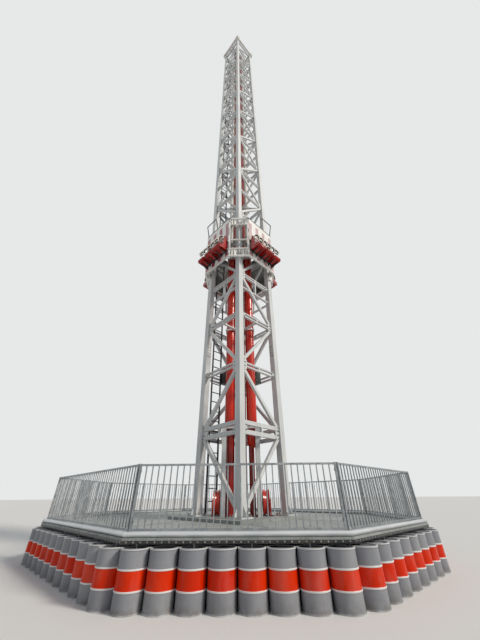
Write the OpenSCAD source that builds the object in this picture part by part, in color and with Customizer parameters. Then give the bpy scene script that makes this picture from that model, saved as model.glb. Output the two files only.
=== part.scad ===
// Drop tower ride: a square lattice mast on an octagonal deck, ringed by steel drums,
// with a seat carriage that slides on the four corner legs.
// Millimetres, +Z up. Origin on the ground at the centre of the base.

/* [Tower] */
// Height of the corner legs above the ground
tower_h = 39000; // [30000:100:39300]
// Distance between the centre lines of neighbouring legs
leg_pitch = 1640; // [1500:10:1900]
// Outside width of a square leg
leg_w = 190; // [160:5:220]
// Height above the ground of the heavy ring of ties
first_level = 2750; // [2500:10:3000]
// Number of bays above the heavy ring
bays = 20; // [16:1:22]
// Width of a diagonal in the plane of its face
diag_w = 96; // [70:2:120]
// Width of each bar of a twin tie
tie_w = 42; // [30:1:60]
// Clear space between the two bars of a twin tie
tie_gap = 76; // [50:2:100]
// Width of the battens that join the two bars of a tie
batten_w = 60; // [40:5:100]
// Height of the ring of single ties under the carriage's parking place
single_tie_z = 7550; // [7300:10:7800]
// Thickness of the bracing across its face
brace_t = 84; // [60:2:120]
// Depth of each bar of the heavy ring
heavy_w = 110; // [80:5:140]
// Clear space between the two bars of the heavy ring
heavy_gap = 130; // [80:5:200]
// Side of a leg's square foot plate
foot_w = 400; // [320:10:460]
// Thickness of a foot plate
foot_t = 30; // [20:1:40]
// Height of the stiffening ribs on a foot
foot_rib_h = 220; // [150:10:300]

/* [Head frame] */
// Overhang of the head frame past the legs
head_over = 130; // [100:10:260]
// Height of the head frame
head_h = 500; // [350:10:600]
// Thickness of the head frame's web
head_web = 40; // [20:1:60]
// Width of the head frame's flanges
head_flange = 150; // [90:5:200]
// Diameter of a head sheave
head_sheave_d = 400; // [300:10:420]
// Width of a head sheave
head_sheave_w = 90; // [60:5:120]
// Width of the beams under the head sheaves
head_beam_w = 120; // [80:5:150]
// Height of those beams
head_beam_h = 160; // [120:5:220]

/* [Lift column] */
// Diameter of the lower lift cylinders
barrel_d = 310; // [240:5:330]
// Distance of the lower lift cylinders from the axis
barrel_off = 335; // [330:5:380]
// Height at which the lift cylinders end
barrel_top = 9900; // [8000:50:11000]
// Diameter of the centre pipe below that height
core_d = 330; // [240:5:340]
// Diameter of the centre pipe above it
core_top_d = 160; // [100:5:180]
// Diameter of the upper lift pipes
ram_d = 180; // [120:5:190]
// Distance of the upper lift pipes from the axis
ram_off = 190; // [185:1:200]
// Diameter of the pale guide pipes
rail_d = 110; // [80:2:120]
// Distance of the guide pipes from the axis
rail_off = 350; // [345:1:400]
// Length of the free end under the hanging cylinder
barrel_drop = 450; // [300:10:600]
// Thickness of a collar flange
flange_t = 40; // [20:2:60]
// Step from a cylinder's wall to its flange's edge
flange_lip = 34; // [20:2:40]

/* [Deck] */
// Distance from the axis to the deck's edge
deck_r = 3870; // [3600:10:4000]
// Extra length of the two long sides, towards the rear
deck_more = 1190; // [1150:10:1250]
// Height of the walking surface
deck_z = 720; // [700:5:900]
// Thickness of the deck plate
deck_t = 30; // [20:2:60]
// Diameter of the tube along the deck's edge
edge_d = 70; // [60:2:120]
// Height of the edge beam under the deck
edge_beam_h = 40; // [30:2:60]
// Width of the edge beam
edge_beam_w = 80; // [60:2:120]
// Side of the raised tower plinth
plinth_w = 2700; // [2400:10:3000]
// Height of the tower plinth above the deck
plinth_h = 60; // [60:5:140]
// Width of a ground beam
sill_w = 300; // [200:10:400]
// Height of a ground beam
sill_h = 260; // [200:10:320]
// Thickness of the skirt boards behind the drums
skirt_t = 24; // [12:1:40]

/* [Fence] */
// Height of the fence above the deck
fence_h = 920; // [850:10:1200]
// Gap between the edge tube and the fence posts
fence_in = 4; // [1:1:60]
// Spacing of the fence bars
bar_pitch = 100; // [80:5:110]
// Thickness of a fence bar
bar_w = 16; // [12:1:25]
// Thickness of the fence rails
fence_rail = 28; // [24:1:40]
// Height of the lower rail above the deck
fence_gap = 70; // [50:5:110]
// Width of a fence post
post_w = 32; // [28:1:50]

/* [Drums] */
// Outside diameter of a drum at its rims
drum_d = 392; // [370:1:396]
// Height of a drum
drum_h = 622; // [560:2:640]
// Step from the drum's wall out to its rims and hoops
hoop_out = 6; // [3:1:9]
// Height of a rim or hoop
hoop_h = 15; // [10:1:24]
// Depth of the recessed lid
lid_in = 16; // [8:1:24]

/* [Carriage] */
// Height of the underside of the lower ring
ring_z = 8800; // [8000:50:12000]
// Height of the carriage from ring to ring
carriage_h = 2250; // [2000:10:2500]
// Distance from the axis to the outer face of a carriage side
side_r = 1280; // [1270:5:1500]
// Distance from the axis to the outer face of a cut corner
corner_r = 1410; // [1410:5:1500]
// Width of the ring tubes
ring_w = 60; // [40:2:64]
// Thickness of a back panel
panel_t = 20; // [12:1:30]
// Width of the corner posts and rails
corner_w = 44; // [30:2:54]
// Clear height of the roller bay at each end of a corner
roller_bay = 330; // [280:5:400]
// Diameter of a guide roller
roller_d = 140; // [100:5:150]
// Width of a guide roller
roller_w = 56; // [40:2:70]
// Running gap between a roller and its leg
roller_gap = 0.3; // [0.3:0.1:5]
// Thickness of a roller's cheek plates
cheek_t = 14; // [10:1:20]

// Height of the hand rails over the upper ring
rail_up = 600; // [500:10:700]
// Length of a hand rail along its side
rail_run = 620; // [500:10:700]
// Angle at which a hand rail leans outwards
rail_lean = 11; // [5:1:14]
// Width of the hand rail's square tube
rail_tube = 28; // [20:1:34]

/* [Seats] */
// Spacing of the seats along a side
seat_pitch = 460; // [440:5:480]
// Height of the seat pan above the underside of the lower ring
seat_up = 400; // [350:5:450]
// Width of a seat
seat_w = 400; // [380:2:420]
// Depth of the seat pan
seat_deep = 340; // [320:5:380]
// Height of the seat back
seat_back_h = 560; // [540:5:620]
// Thickness of the seat back's shell
shell_t = 60; // [40:2:70]
// How far the wings of the seat stand forward
wing_out = 110; // [80:5:140]
// Width of a wing
wing_w = 46; // [36:1:60]
// Depth of the beams that carry the seats
seat_beam = 60; // [50:2:80]
// Height of those beams
seat_beam_h = 90; // [60:5:120]
// Thickness of the brackets under a seat
bracket_t = 14; // [8:1:24]
// Drop of those brackets at the back panel
bracket_drop = 140; // [80:5:150]
// Diameter of the harness tube
harness_d = 40; // [30:1:45]
// Distance between the two arms of a harness
arm_gap = 230; // [200:5:260]
// Width of the foam on an arm
pad_w = 84; // [60:2:90]
// Height of the lap bar above the seat
lap_up = 240; // [220:5:260]
// Clearance beside the harness's hinge tube
hinge_gap = 0.3; // [0.3:0.1:1]

/* [Ladder] */
// Width of the ladder
ladder_w = 400; // [340:5:460]
// Spacing of the rungs
rung_pitch = 300; // [250:10:350]
// Thickness of the ladder's rails
stile_w = 40; // [30:1:50]
// Diameter of a rung
rung_d = 24; // [18:1:30]
// Shift of the ladder from the middle of its face
ladder_shift = 420; // [300:10:460]

/* [Machinery] */
// Diameter of a base sheave
base_sheave_d = 600; // [450:10:640]
// Width of a base sheave
base_sheave_w = 170; // [120:5:200]
// Distance of a base sheave from the axis
base_sheave_off = 650; // [645:5:700]
// Width of a post of the cylinder stand
stand_post = 120; // [90:5:150]
// Side of the stand's top plate
stand_w = 1080; // [1040:10:1200]
// Thickness of the stand's top plate
stand_t = 50; // [30:2:70]
// Height of the taller control cabinet
cabinet_h = 550; // [460:10:600]
// Width of a control cabinet
cabinet_w = 420; // [340:5:440]
// Depth of a control cabinet
cabinet_deep = 210; // [150:5:260]

/* [Hidden] */

$fn = 48;
eps = 1;
seat_fit = 0.3;
root2 = sqrt(2);
oct_side = 2 * tan(22.5);

steel = "lightgray";
pale = "whitesmoke";
red = "firebrick";
dark = "dimgray";

leg_c = leg_pitch / 2;
leg_in = leg_c - leg_w / 2;
leg_out = leg_c + leg_w / 2;
face_w = 2 * leg_in;
tie_h = 2 * tie_w + tie_gap;
heavy_h = 2 * heavy_w + heavy_gap;
plinth_z = deck_z + plinth_h;
head_z0 = tower_h;
pipe_top = tower_h - seat_fit;
head_gap = head_sheave_w / 2 + 30;
axle_d = 60;
block_w = 50;
top_level = tower_h - tie_h / 2;
bay_h = (top_level - first_level) / bays;
// The single ties hang from the next full tie above them
hanger_level = ceil((single_tie_z + tie_h - first_level) / bay_h);
function level(n) = n < 0 ? plinth_z + foot_t : first_level + n * bay_h;

deck_under = deck_z - deck_t;
drum_r = drum_d / 2;
// Length of a short side of the base that the drums can fill
drum_run = deck_r * oct_side - 2 * (drum_r + seat_fit) / cos(22.5);
skirt_r = deck_r - drum_r - seat_fit;
fence_r = deck_r - edge_d - fence_in - post_w / 2;

ring_top = ring_z + carriage_h;
seat_z = ring_z + seat_up;
wheel_c = leg_out + roller_gap + roller_d / 2;
cheek_in = 30;
pivot_x = seat_beam + shell_t / 2 + 40;
pivot_z = seat_back_h + 50;
pan_rise = 20;
hub_r = 25;
lap_r = 27;
lug_r = 30;
lug_t = 18;
arm_reach = 0.75 * seat_deep;
shoulder_h = 50;
// Line of a harness arm: hinge, over the shoulder, down the chest to the lap bar
arm_path = [
    [pivot_x, pivot_z], [pivot_x + 2 * shoulder_h, pivot_z + shoulder_h],
    [pivot_x + arm_reach - shoulder_h, pivot_z - shoulder_h],
    [pivot_x + arm_reach, 0.78 * seat_back_h], [pivot_x + arm_reach, lap_up]
];

// Corners of the carriage's octagon: sides at distance g, cut corners at distance c
function oct_pts(g, c) = let (h = c * root2 - g)
    [[h, -g], [g, -h], [g, h], [h, g], [-h, g], [-g, h], [-g, -h], [-h, -g]];

// Corners of an octagon with flat sides at distance r, drawn out towards the rear
function deck_pts(r) = let (h = r * oct_side / 2, n = deck_more)
    [[h, -r], [r, -h], [r, h + n], [h, r + n], [-h, r + n], [-r, h + n], [-r, -h], [-h, -r]];

// Extra length of side i of the base along its own x
function side_more(i) = i == 2 ? deck_more : i == 6 ? -deck_more : 0;

// Place children on side i of the base; sides 3 to 5 are the ones at the rear
module at_side(i) {
    translate([0, i > 2 && i < 6 ? deck_more : 0, 0])
        rotate(45 * i)
            children();
}

// A straight bar of width w between two points of a plane
module bar2d(a, b, w) {
    d = b - a;
    translate(a)
        rotate(atan2(d[1], d[0]))
            translate([0, -w / 2])
                square([norm(d), w]);
}

function unit(v) = v / norm(v);
function turned(v) = [-v[1], v[0]];

// Points of a line shifted sideways by half of w, with mitred corners
function beside(line, w) = [
    for (i = [0:len(line) - 1])
        let (
            a = i > 0 ? unit(line[i] - line[i - 1]) : unit(line[1] - line[0]),
            b = i < len(line) - 1 ? unit(line[i + 1] - line[i]) : a,
            n = unit(turned(a) + turned(b))
        )
        line[i] + n * w / 2 / (n * turned(a))
];

// A band of width w along a line of points
module band2d(line, w) {
    back = beside(line, -w);
    polygon(concat(beside(line, w), [for (i = [len(back) - 1:-1:0]) back[i]]));
}

// Stand a flat outline up on the south face, y from near to near + t
module upright(near, t) {
    translate([0, near + t, 0])
        rotate([90, 0, 0])
            linear_extrude(t)
                children();
}

// Plan of the sill beams: beams each way and a diagonal to each corner side
module sill_plan() {
    reach = skirt_r - skirt_t;
    for (x = [-leg_c, leg_c])
        translate([x - sill_w / 2, -reach])
            square([sill_w, 2 * reach + deck_more]);
    for (y = [-leg_c, 0, leg_c, leg_c + deck_more])
        translate([-reach, y - sill_w / 2])
            square([2 * reach, sill_w]);
    for (i = [1:2:7])
        at_side(i)
            translate([-sill_w / 2, -reach])
                square([sill_w, reach - leg_c]);
}

// Plan of the stub posts under the tower's legs and the deck's rim
module stub_plan() {
    reach = skirt_r - skirt_t;
    for (x = [-1, 1], y = [-1, 1])
        translate([x * leg_c, y * leg_c])
            square(foot_w, center = true);
    for (i = [0:7])
        at_side(i)
            translate([-sill_w / 2, -reach])
                square(sill_w);
    for (x = [-1, 1])
        translate([x * (reach - sill_w / 2), leg_c + deck_more])
            square(sill_w, center = true);
}

// Sill beams on the ground with stub posts that carry the tower and the deck
module ground_frame() {
    color(dark)
        union() {
            linear_extrude(sill_h) {
                sill_plan();
                stub_plan();
            }
            translate([0, 0, sill_h])
                linear_extrude(deck_under - sill_h)
                    stub_plan();
        }
}

// Boards that close the underside of the deck
module skirt() {
    color(dark)
        linear_extrude(deck_under)
            difference() {
                polygon(deck_pts(skirt_r));
                polygon(deck_pts(skirt_r - skirt_t));
            }
}

module deck_plate() {
    color(steel)
        translate([0, 0, deck_under])
            linear_extrude(deck_t)
                polygon(deck_pts(deck_r));
}

// Edge tube on the rim of the deck, and a beam below the plate
module deck_edge() {
    line_r = deck_r - edge_d / 2;
    side = line_r * oct_side;
    wedge = deck_pts(2 * deck_r);
    color(pale) {
        for (i = [0:7]) {
            lo = [min(side_more(i), 0), 0];
            hi = [max(side_more(i), 0), 0];
            at_side(i)
                intersection() {
                    translate([lo[0] - side, -line_r, deck_z + edge_d / 2])
                        rotate([0, 90, 0])
                            cylinder(h = 2 * side + deck_more, d = edge_d);
                    translate([0, -seat_fit / 2 / sin(22.5), 0])
                        linear_extrude(2 * deck_z)
                            polygon(concat([hi, lo + wedge[7], hi + wedge[0]], hi == lo ? [] : [lo]),
                                [hi == lo ? [0, 1, 2] : [0, 3, 1, 2]]);
                }
        }
        translate([0, 0, deck_under - edge_beam_h])
            linear_extrude(edge_beam_h)
                difference() {
                    polygon(deck_pts(deck_r));
                    polygon(deck_pts(deck_r - edge_beam_w));
                }
    }
}

// Raised frame that the tower's feet stand on
module tower_plinth() {
    color(steel)
        translate([0, 0, deck_z])
            difference() {
                translate([-plinth_w / 2, -plinth_w / 2, 0])
                    cube([plinth_w, plinth_w, plinth_h]);
                translate([0, 0, plinth_h - foot_t])
                    linear_extrude(plinth_h)
                        square(face_w, center = true);
            }
}

// One flat fence panel with its posts, on side i of the deck
module fence_panel(i) {
    half = fence_r * oct_side / 2;
    reach = half - post_w * tan(22.5) / 2 - seat_fit;
    lo = min(side_more(i), 0) - reach;
    hi = max(side_more(i), 0) + reach;
    count = round((hi - lo - post_w) / bar_pitch);
    pitch = (hi - lo - post_w) / count;
    top = fence_h - fence_rail;
    color(steel)
        at_side(i)
            translate([0, 0, deck_z])
                union() {
                    upright(-fence_r - fence_rail / 2, fence_rail)
                        union() {
                            translate([lo, top])
                                square([hi - lo, fence_rail]);
                            translate([lo, fence_gap])
                                square([hi - lo, fence_rail]);
                        }
                    upright(-fence_r - post_w / 2, post_w)
                        for (x = [lo, hi - post_w])
                            translate([x, 0])
                                square([post_w, fence_h]);
                    upright(-fence_r - bar_w / 2, bar_w)
                        for (k = [1:count - 1])
                            translate([lo + (post_w - bar_w) / 2 + k * pitch, fence_gap + fence_rail / 2])
                                square([bar_w, top - fence_gap]);
                }
}

// Steel drum with rolled rims and two hoops
module drum() {
    wall = drum_r - hoop_out;
    rotate_extrude()
        polygon([
            [0, hoop_h / 2], [wall - hoop_h, hoop_h / 2], [wall - hoop_h, 0], [drum_r, 0],
            [drum_r, hoop_h], [wall, hoop_h * 1.5],
            [wall, drum_h / 3 - hoop_h], [drum_r, drum_h / 3 - hoop_h / 3],
            [drum_r, drum_h / 3 + hoop_h / 3], [wall, drum_h / 3 + hoop_h],
            [wall, drum_h * 2 / 3 - hoop_h], [drum_r, drum_h * 2 / 3 - hoop_h / 3],
            [drum_r, drum_h * 2 / 3 + hoop_h / 3], [wall, drum_h * 2 / 3 + hoop_h],
            [wall, drum_h - hoop_h * 1.5], [drum_r, drum_h - hoop_h], [drum_r, drum_h],
            [wall - hoop_h, drum_h], [wall - hoop_h, drum_h - lid_in], [0, drum_h - lid_in]
        ]);
}

// Drums along two neighbouring sides of the base
module drums(group) {
    color(steel)
        for (i = [2 * group, 2 * group + 1]) {
            run = drum_run + abs(side_more(i));
            gaps = floor(run / (drum_d + seat_fit));
            at_side(i)
                for (k = [0:gaps])
                    translate([min(side_more(i), 0) - drum_run / 2 + k * run / gaps, -deck_r, 0])
                        drum();
        }
}

// Corner legs with foot plates and ribs
module tower_legs() {
    color(pale)
        for (x = [-1, 1], y = [-1, 1])
            translate([x * leg_c, y * leg_c, 0]) {
                translate([-foot_w / 2, -foot_w / 2, plinth_z])
                    cube([foot_w, foot_w, foot_t]);
                translate([-leg_w / 2, -leg_w / 2, plinth_z + foot_t])
                    cube([leg_w, leg_w, tower_h - plinth_z - foot_t]);
                for (a = [90 - 90 * x, 180 - 90 * y])
                    rotate(a)
                        translate([0, foot_t / 4, plinth_z + foot_t])
                            rotate([90, 0, 0])
                                linear_extrude(foot_t / 2)
                                    polygon([
                                        [leg_w / 2 - eps, 0], [foot_w / 2, 0],
                                        [foot_w / 2, foot_t], [leg_w / 2 - eps, foot_rib_h]
                                    ]);
            }
}

// Flat bracing of one tower face: a zigzag of diagonals with twin ties at each level
module bracing_side(i) {
    flip = (i % 2 == 0) ? 1 : -1;
    color(pale)
        rotate(90 * i)
            upright(-leg_c - brace_t / 2, brace_t)
                intersection() {
                    union() {
                        for (n = [0:bays]) {
                            s = (n % 2 == 0) ? flip : -flip;
                            bar2d([-s * leg_c, level(n - 1)], [s * leg_c, level(n)], diag_w);
                        }
                        for (n = [1:bays])
                            for (k = [-1, 1])
                                translate([-leg_c, level(n) + k * (tie_w + tie_gap) / 2 - tie_w / 2])
                                    square([leg_pitch, tie_w]);
                        for (k = [-1, 1])
                            translate([-leg_c, level(0) + k * (heavy_w + heavy_gap) / 2 - heavy_w / 2])
                                square([leg_pitch, heavy_w]);
                        translate([-leg_c, single_tie_z - tie_w / 2])
                            square([leg_pitch, tie_w]);
                        translate([-tie_w / 2, single_tie_z])
                            square([tie_w, level(hanger_level) - single_tie_z]);
                        for (n = [0:bays], k = [-1:1])
                            translate([k * (face_w - batten_w) / 2, level(n)])
                                square([batten_w, n == 0 ? heavy_gap + eps : tie_gap + eps], center = true);
                    }
                    translate([-face_w / 2, plinth_z + foot_t])
                        square([face_w, tower_h - plinth_z - foot_t]);
                }
}

// Channel frame round the head of the tower
module head_frame() {
    half = leg_out + head_over;
    color(red)
        translate([0, 0, head_z0])
            difference() {
                linear_extrude(head_h)
                    square(2 * half, center = true);
                translate([0, 0, -eps])
                    linear_extrude(head_h + 2 * eps)
                        square(2 * (half - head_flange), center = true);
                translate([0, 0, head_web])
                    linear_extrude(head_h - 2 * head_web)
                        difference() {
                            square(2 * (half - head_web), center = true);
                            square(2 * (half - head_flange) - 2 * eps, center = true);
                        }
            }
}

// Beams across the head that carry the sheaves and the pipes
module head_beams() {
    half = leg_out + head_over - head_flange;
    plate = root2 * rail_off + rail_d + 60;
    color(steel)
        translate([0, 0, head_z0])
            union() {
                for (s = [-1, 1])
                    translate([-half, s * (head_gap + head_beam_w / 2) - head_beam_w / 2, 0])
                        cube([2 * half, head_beam_w, head_beam_h]);
                for (s = [-1, 1])
                    translate([s * (half - head_beam_w) - head_beam_w / 2, -half, 0])
                        cube([head_beam_w, 2 * half, head_beam_h]);
                translate([-plate / 2, -plate / 2, 0])
                    cube([plate, plate, flange_t]);
            }
}

// Grooved rope wheel standing on its rim, axle along Y
module sheave(d, w) {
    groove = w / 4;
    rotate([90, 0, 0])
        rotate_extrude()
            polygon([
                [0, -w / 2], [d / 6, -w / 2], [d / 6, -w / 4], [d * 0.4, -w / 4], [d * 0.4, -w / 2],
                [d / 2, -w / 2], [d / 2 - groove, 0], [d / 2, w / 2],
                [d * 0.4, w / 2], [d * 0.4, w / 4], [d / 6, w / 4], [d / 6, w / 2], [0, w / 2]
            ]);
}

// Rope wheels in the head, between the two long beams
module head_sheaves() {
    axle_up = flange_t + 20 + head_sheave_d / 2;
    color(dark)
        for (s = [-1, 1])
            translate([s * head_sheave_d * 0.62, 0, head_z0 + axle_up])
                union() {
                    sheave(head_sheave_d, head_sheave_w);
                    rotate([90, 0, 0])
                        cylinder(h = 2 * (head_gap + block_w), d = axle_d, center = true);
                    for (k = [-1, 1])
                        translate([-axle_d, k * (head_gap + block_w / 2) - block_w / 2, head_beam_h - axle_up])
                            cube([2 * axle_d, block_w, axle_up - head_beam_h + axle_d]);
                }
}

// The two lift cylinders that flank the centre pipe
module lift_cylinders() {
    stand_z = first_level + heavy_h / 2;
    color(red)
        rotate(-45)
            for (s = [-1, 1]) {
                z0 = s > 0 ? stand_z - barrel_drop : stand_z;
                translate([s * barrel_off, 0, 0])
                    union() {
                        translate([0, 0, z0])
                            cylinder(h = barrel_top - z0, d = barrel_d);
                        if (s > 0)
                            translate([0, 0, z0 - barrel_d / 3])
                                cylinder(h = barrel_d / 3, d1 = barrel_d / 3, d2 = barrel_d);
                        for (z = [stand_z, (stand_z + barrel_top) / 2, barrel_top - flange_t])
                            translate([0, 0, z])
                                cylinder(h = flange_t, d = barrel_d + flange_lip / 2);
                    }
            }
}

// Centre pipe, thick below and slim above
module centre_pipe() {
    color(red)
        union() {
            translate([0, 0, plinth_z - foot_t])
                cylinder(h = barrel_top - plinth_z + foot_t, d = core_d);
            translate([0, 0, barrel_top])
                cylinder(h = pipe_top - barrel_top, d = core_top_d);
        }
}

// Red pipes above the lift cylinders
module lift_pipes() {
    color(red)
        rotate(-45)
            for (s = [-1, 1])
                translate([s * ram_off, 0, barrel_top])
                    cylinder(h = pipe_top - barrel_top, d = ram_d);
}

// Pale guide pipes outside the red ones
module guide_pipes() {
    color(pale)
        rotate(-45)
            for (s = [-1, 1])
                translate([s * rail_off, 0, barrel_top])
                    cylinder(h = pipe_top - barrel_top, d = rail_d);
}

// Flat cross of one diaphragm, reaching from tie to tie
module diaphragm_plan() {
    reach = leg_c - brace_t / 2;
    hub = 2 * (barrel_off + barrel_d / 2 + 30);
    union() {
        square([2 * reach, tie_h / 2], center = true);
        square([tie_h / 2, 2 * reach], center = true);
        rotate(-45)
            square([hub, barrel_d + 60], center = true);
    }
}

// Plates that hold the pipes to the tower at every second level
module pipe_diaphragms() {
    color(dark)
        for (n = [2:2:bays - 1])
            translate([0, 0, level(n) - tie_gap / 2 - tie_w])
                linear_extrude(tie_w)
                    difference() {
                        diaphragm_plan();
                        if (level(n) < barrel_top) {
                            circle(d = core_d + 2 * seat_fit);
                            rotate(-45)
                                for (s = [-1, 1])
                                    translate([s * barrel_off, 0])
                                        circle(d = barrel_d + 2 * seat_fit);
                        } else {
                            circle(d = core_top_d + 2 * seat_fit);
                            rotate(-45)
                                for (s = [-1, 1]) {
                                    translate([s * ram_off, 0])
                                        circle(d = ram_d + 2 * seat_fit);
                                    translate([s * rail_off, 0])
                                        circle(d = rail_d + 2 * seat_fit);
                                }
                        }
                    }
}

// Table under the lift cylinders
module cylinder_stand() {
    z1 = first_level + heavy_h / 2;
    z0 = plinth_z - foot_t;
    color(steel)
        rotate(-45)
            difference() {
                union() {
                    translate([-stand_w / 2, -stand_w / 4, z1 - stand_t])
                        cube([stand_w, stand_w / 2, stand_t]);
                    for (x = [-1, 1], y = [-1, 1])
                        translate([
                            x * (stand_w - stand_post) / 2 - stand_post / 2,
                            y * (stand_w / 2 - stand_post) / 2 - stand_post / 2, z0
                        ])
                            cube([stand_post, stand_post, z1 - z0]);
                }
                translate([0, 0, z1 - stand_t - eps])
                    cylinder(h = stand_t + 2 * eps, d = core_d + 2 * seat_fit);
                translate([barrel_off, 0, z1 - stand_t - eps])
                    cylinder(h = stand_t + 2 * eps, d = barrel_d + 2 * seat_fit);
            }
}

// Large red rope wheels at the foot of the column
module base_sheaves() {
    floor_z = plinth_z - foot_t;
    axle_z = floor_z + base_sheave_d / 2 + 20;
    color(red)
        rotate(-45)
            for (s = [-1, 1])
                translate([s * base_sheave_off, 0, axle_z])
                    union() {
                        rotate(90)
                            sheave(base_sheave_d, base_sheave_w);
                        rotate([0, 90, 0])
                            cylinder(h = base_sheave_w + 80, d = 70, center = true);
                        for (k = [-1, 1])
                            translate([k * (base_sheave_w / 2 + 30) - 10, -60, floor_z - axle_z])
                                cube([20, 120, axle_z - floor_z + 60]);
                    }
}

// Control cabinets hung inside the two rear faces
module cabinets() {
    z = level(1) - 100;
    color(dark)
        for (i = [1, 2])
            rotate(90 * i)
                translate([-cabinet_w / 2, -leg_c + brace_t / 2, z])
                    cube([cabinet_w, cabinet_deep, cabinet_h]);
}

// Ladder inside the north face, from the plinth to the head
module ladder() {
    z0 = plinth_z;
    z1 = tower_h;
    y = -leg_c + brace_t / 2;
    rungs = floor((z1 - z0) / rung_pitch) - 1;
    color(dark)
        rotate(180)
            translate([ladder_shift, y, 0])
                union() {
                    for (s = [-1, 1])
                        translate([s * (ladder_w - stile_w) / 2 - stile_w / 2, 0, z0])
                            cube([stile_w, stile_w, z1 - z0]);
                    for (k = [1:rungs])
                        translate([-ladder_w / 2 + stile_w / 2, (stile_w - rung_d) / 2, z0 + k * rung_pitch])
                            cube([ladder_w - stile_w, rung_d, rung_d]);
                }
}

// One octagonal ring of the carriage
module carriage_ring(z) {
    color(pale)
        translate([0, 0, z])
            linear_extrude(ring_w)
                difference() {
                    polygon(oct_pts(side_r, corner_r));
                    polygon(oct_pts(side_r - ring_w, corner_r - ring_w));
                }
}

// Plan of the cheek plate on side k of the roller that runs on the east face of a leg
module cheek_plan(k) {
    y = -leg_c + k * (roller_w / 2 + cheek_t / 2);
    inner = (corner_r - corner_w / 2) * root2;
    polygon([
        [wheel_c - cheek_in, y - cheek_t / 2], [inner + y - cheek_t / 2, y - cheek_t / 2],
        [inner + y + cheek_t / 2, y + cheek_t / 2], [wheel_c - cheek_in, y + cheek_t / 2]
    ]);
}

// Railed frames at the cut corners, with the cheeks that hold the rollers
module corner_frames() {
    half = (2 * side_r - corner_r * root2) / root2;
    z0 = ring_z + ring_w;
    z1 = ring_top - ring_w;
    color(pale)
        for (i = [0:3])
            rotate(90 * i)
                union() {
                    rotate(45)
                        translate([0, -corner_r, 0])
                            union() {
                                for (s = [-1, 1])
                                    translate([s * (half - corner_w) - corner_w / 2, 0, z0])
                                        cube([corner_w, corner_w, z1 - z0]);
                                for (z = [z0 + roller_bay, z0 + 0.39 * (z1 - z0), z1 - roller_bay - corner_w])
                                    translate([corner_w - half, 0, z])
                                        cube([2 * (half - corner_w), corner_w, corner_w]);
                            }
                    for (z = [z0, z1 - roller_bay - corner_w / 2], k = [-1, 1]) {
                        translate([0, 0, z])
                            linear_extrude(roller_bay + corner_w / 2)
                                cheek_plan(k);
                        translate([0, 0, z])
                            mirror([1, 1, 0])
                                linear_extrude(roller_bay + corner_w / 2)
                                    cheek_plan(k);
                    }
                }
}

// Hand rail over one end of a side, bent from one square tube that leans outwards
module hand_rail() {
    x1 = corner_r * root2 - side_r - ring_w / 2;
    pad = ring_w - 10;
    pad_t = rail_tube / 2;
    rise = rail_up / cos(rail_lean);
    translate([x1 - rail_run, -side_r + ring_w / 2, ring_top])
        union() {
            for (x = [0, rail_run])
                translate([x - pad / 2, -pad / 2, 0])
                    cube([pad, pad, pad_t]);
            translate([0, 0, pad_t / 2])
                rotate([90 + rail_lean, 0, 0])
                    translate([0, 0, -rail_tube / 2])
                        linear_extrude(rail_tube)
                            band2d([[0, 0], [0, rise], [rail_run, rise], [rail_run, 0]], rail_tube);
        }
}

// Hand rails on both sides of the left and right corners
module hand_rails() {
    color(dark)
        for (a = [0, 180])
            rotate(a) {
                hand_rail();
                mirror([1, -1, 0])
                    hand_rail();
            }
}

// Wheel with its axle, running on the east face of a leg
module guide_roller() {
    translate([wheel_c, -leg_c, 0])
        rotate([90, 0, 0])
            union() {
                cylinder(h = roller_w - 2 * hinge_gap, d = roller_d, center = true);
                cylinder(h = roller_w, d = roller_d / 4, center = true);
            }
}

// Rollers above and below at each corner, two on each leg
module guide_rollers() {
    color(dark)
        for (i = [0:3], z = [ring_z + ring_w + roller_bay / 2, ring_top - ring_w - roller_bay / 2])
            rotate(90 * i)
                translate([0, 0, z]) {
                    guide_roller();
                    mirror([1, 1, 0])
                        guide_roller();
                }
}

// Striped boards behind the seats, between the two rings
module back_panels() {
    half = corner_r * root2 - side_r - panel_t;
    color(pale)
        for (i = [0:3])
            rotate(90 * i)
                translate([-half, -side_r, ring_z + ring_w])
                    cube([2 * half, panel_t, carriage_h - 2 * ring_w]);
}

// Beams on the boards that carry the seats, with two brackets under each seat
module seat_beams() {
    half = corner_r * root2 - side_r - panel_t;
    color(steel)
        for (i = [0:3])
            rotate(90 * i) {
                translate([-half, -side_r - seat_beam, seat_z + seat_back_h - 2 * seat_beam_h])
                    cube([2 * half, seat_beam, seat_beam_h]);
                union() {
                    translate([-half, -side_r - seat_beam, seat_z - seat_beam_h])
                        cube([2 * half, seat_beam, seat_beam_h]);
                    for (k = [-1:1], s = [-1, 1])
                        translate([k * seat_pitch + s * seat_w / 4, 0, 0])
                            across(bracket_t)
                                bracket_plan();
                }
            }
}

// Side view of the bracket under a seat, from the back panel to the front of the pan
module bracket_plan() {
    tip = 0.85 * seat_deep;
    top = pan_rise * tip / seat_deep - seat_beam_h - seat_fit;
    polygon([
        [0, -seat_beam_h - bracket_drop], [0, eps - seat_beam_h], [seat_beam / 2, eps - seat_beam_h],
        [seat_beam, -seat_beam_h - seat_fit], [seat_beam + tip, top], [seat_beam + tip, top - 2 * bracket_t]
    ]);
}

// Solid of width w from a side view: x of the outline points away from the tower
module across(w) {
    translate([w / 2, -side_r, seat_z])
        rotate([90, 0, -90])
            linear_extrude(w)
                children();
}

// Side view of the seat's back and pan
module seat_middle() {
    b = seat_beam;
    f = seat_beam + shell_t;
    h = seat_back_h;
    polygon([
        [b, -seat_beam_h], [b + seat_deep, pan_rise - seat_beam_h], [f + seat_deep, -36],
        [f + seat_deep, 6], [f + seat_deep - 40, 24], [f + 130, -8], [f + 56, 8], [f + 14, 60],
        [f, 0.2 * h], [f + 8, 0.44 * h], [f - 6, h - 90], [f - 16, h - 20], [f - 34, h], [b, h]
    ]);
}

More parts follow.
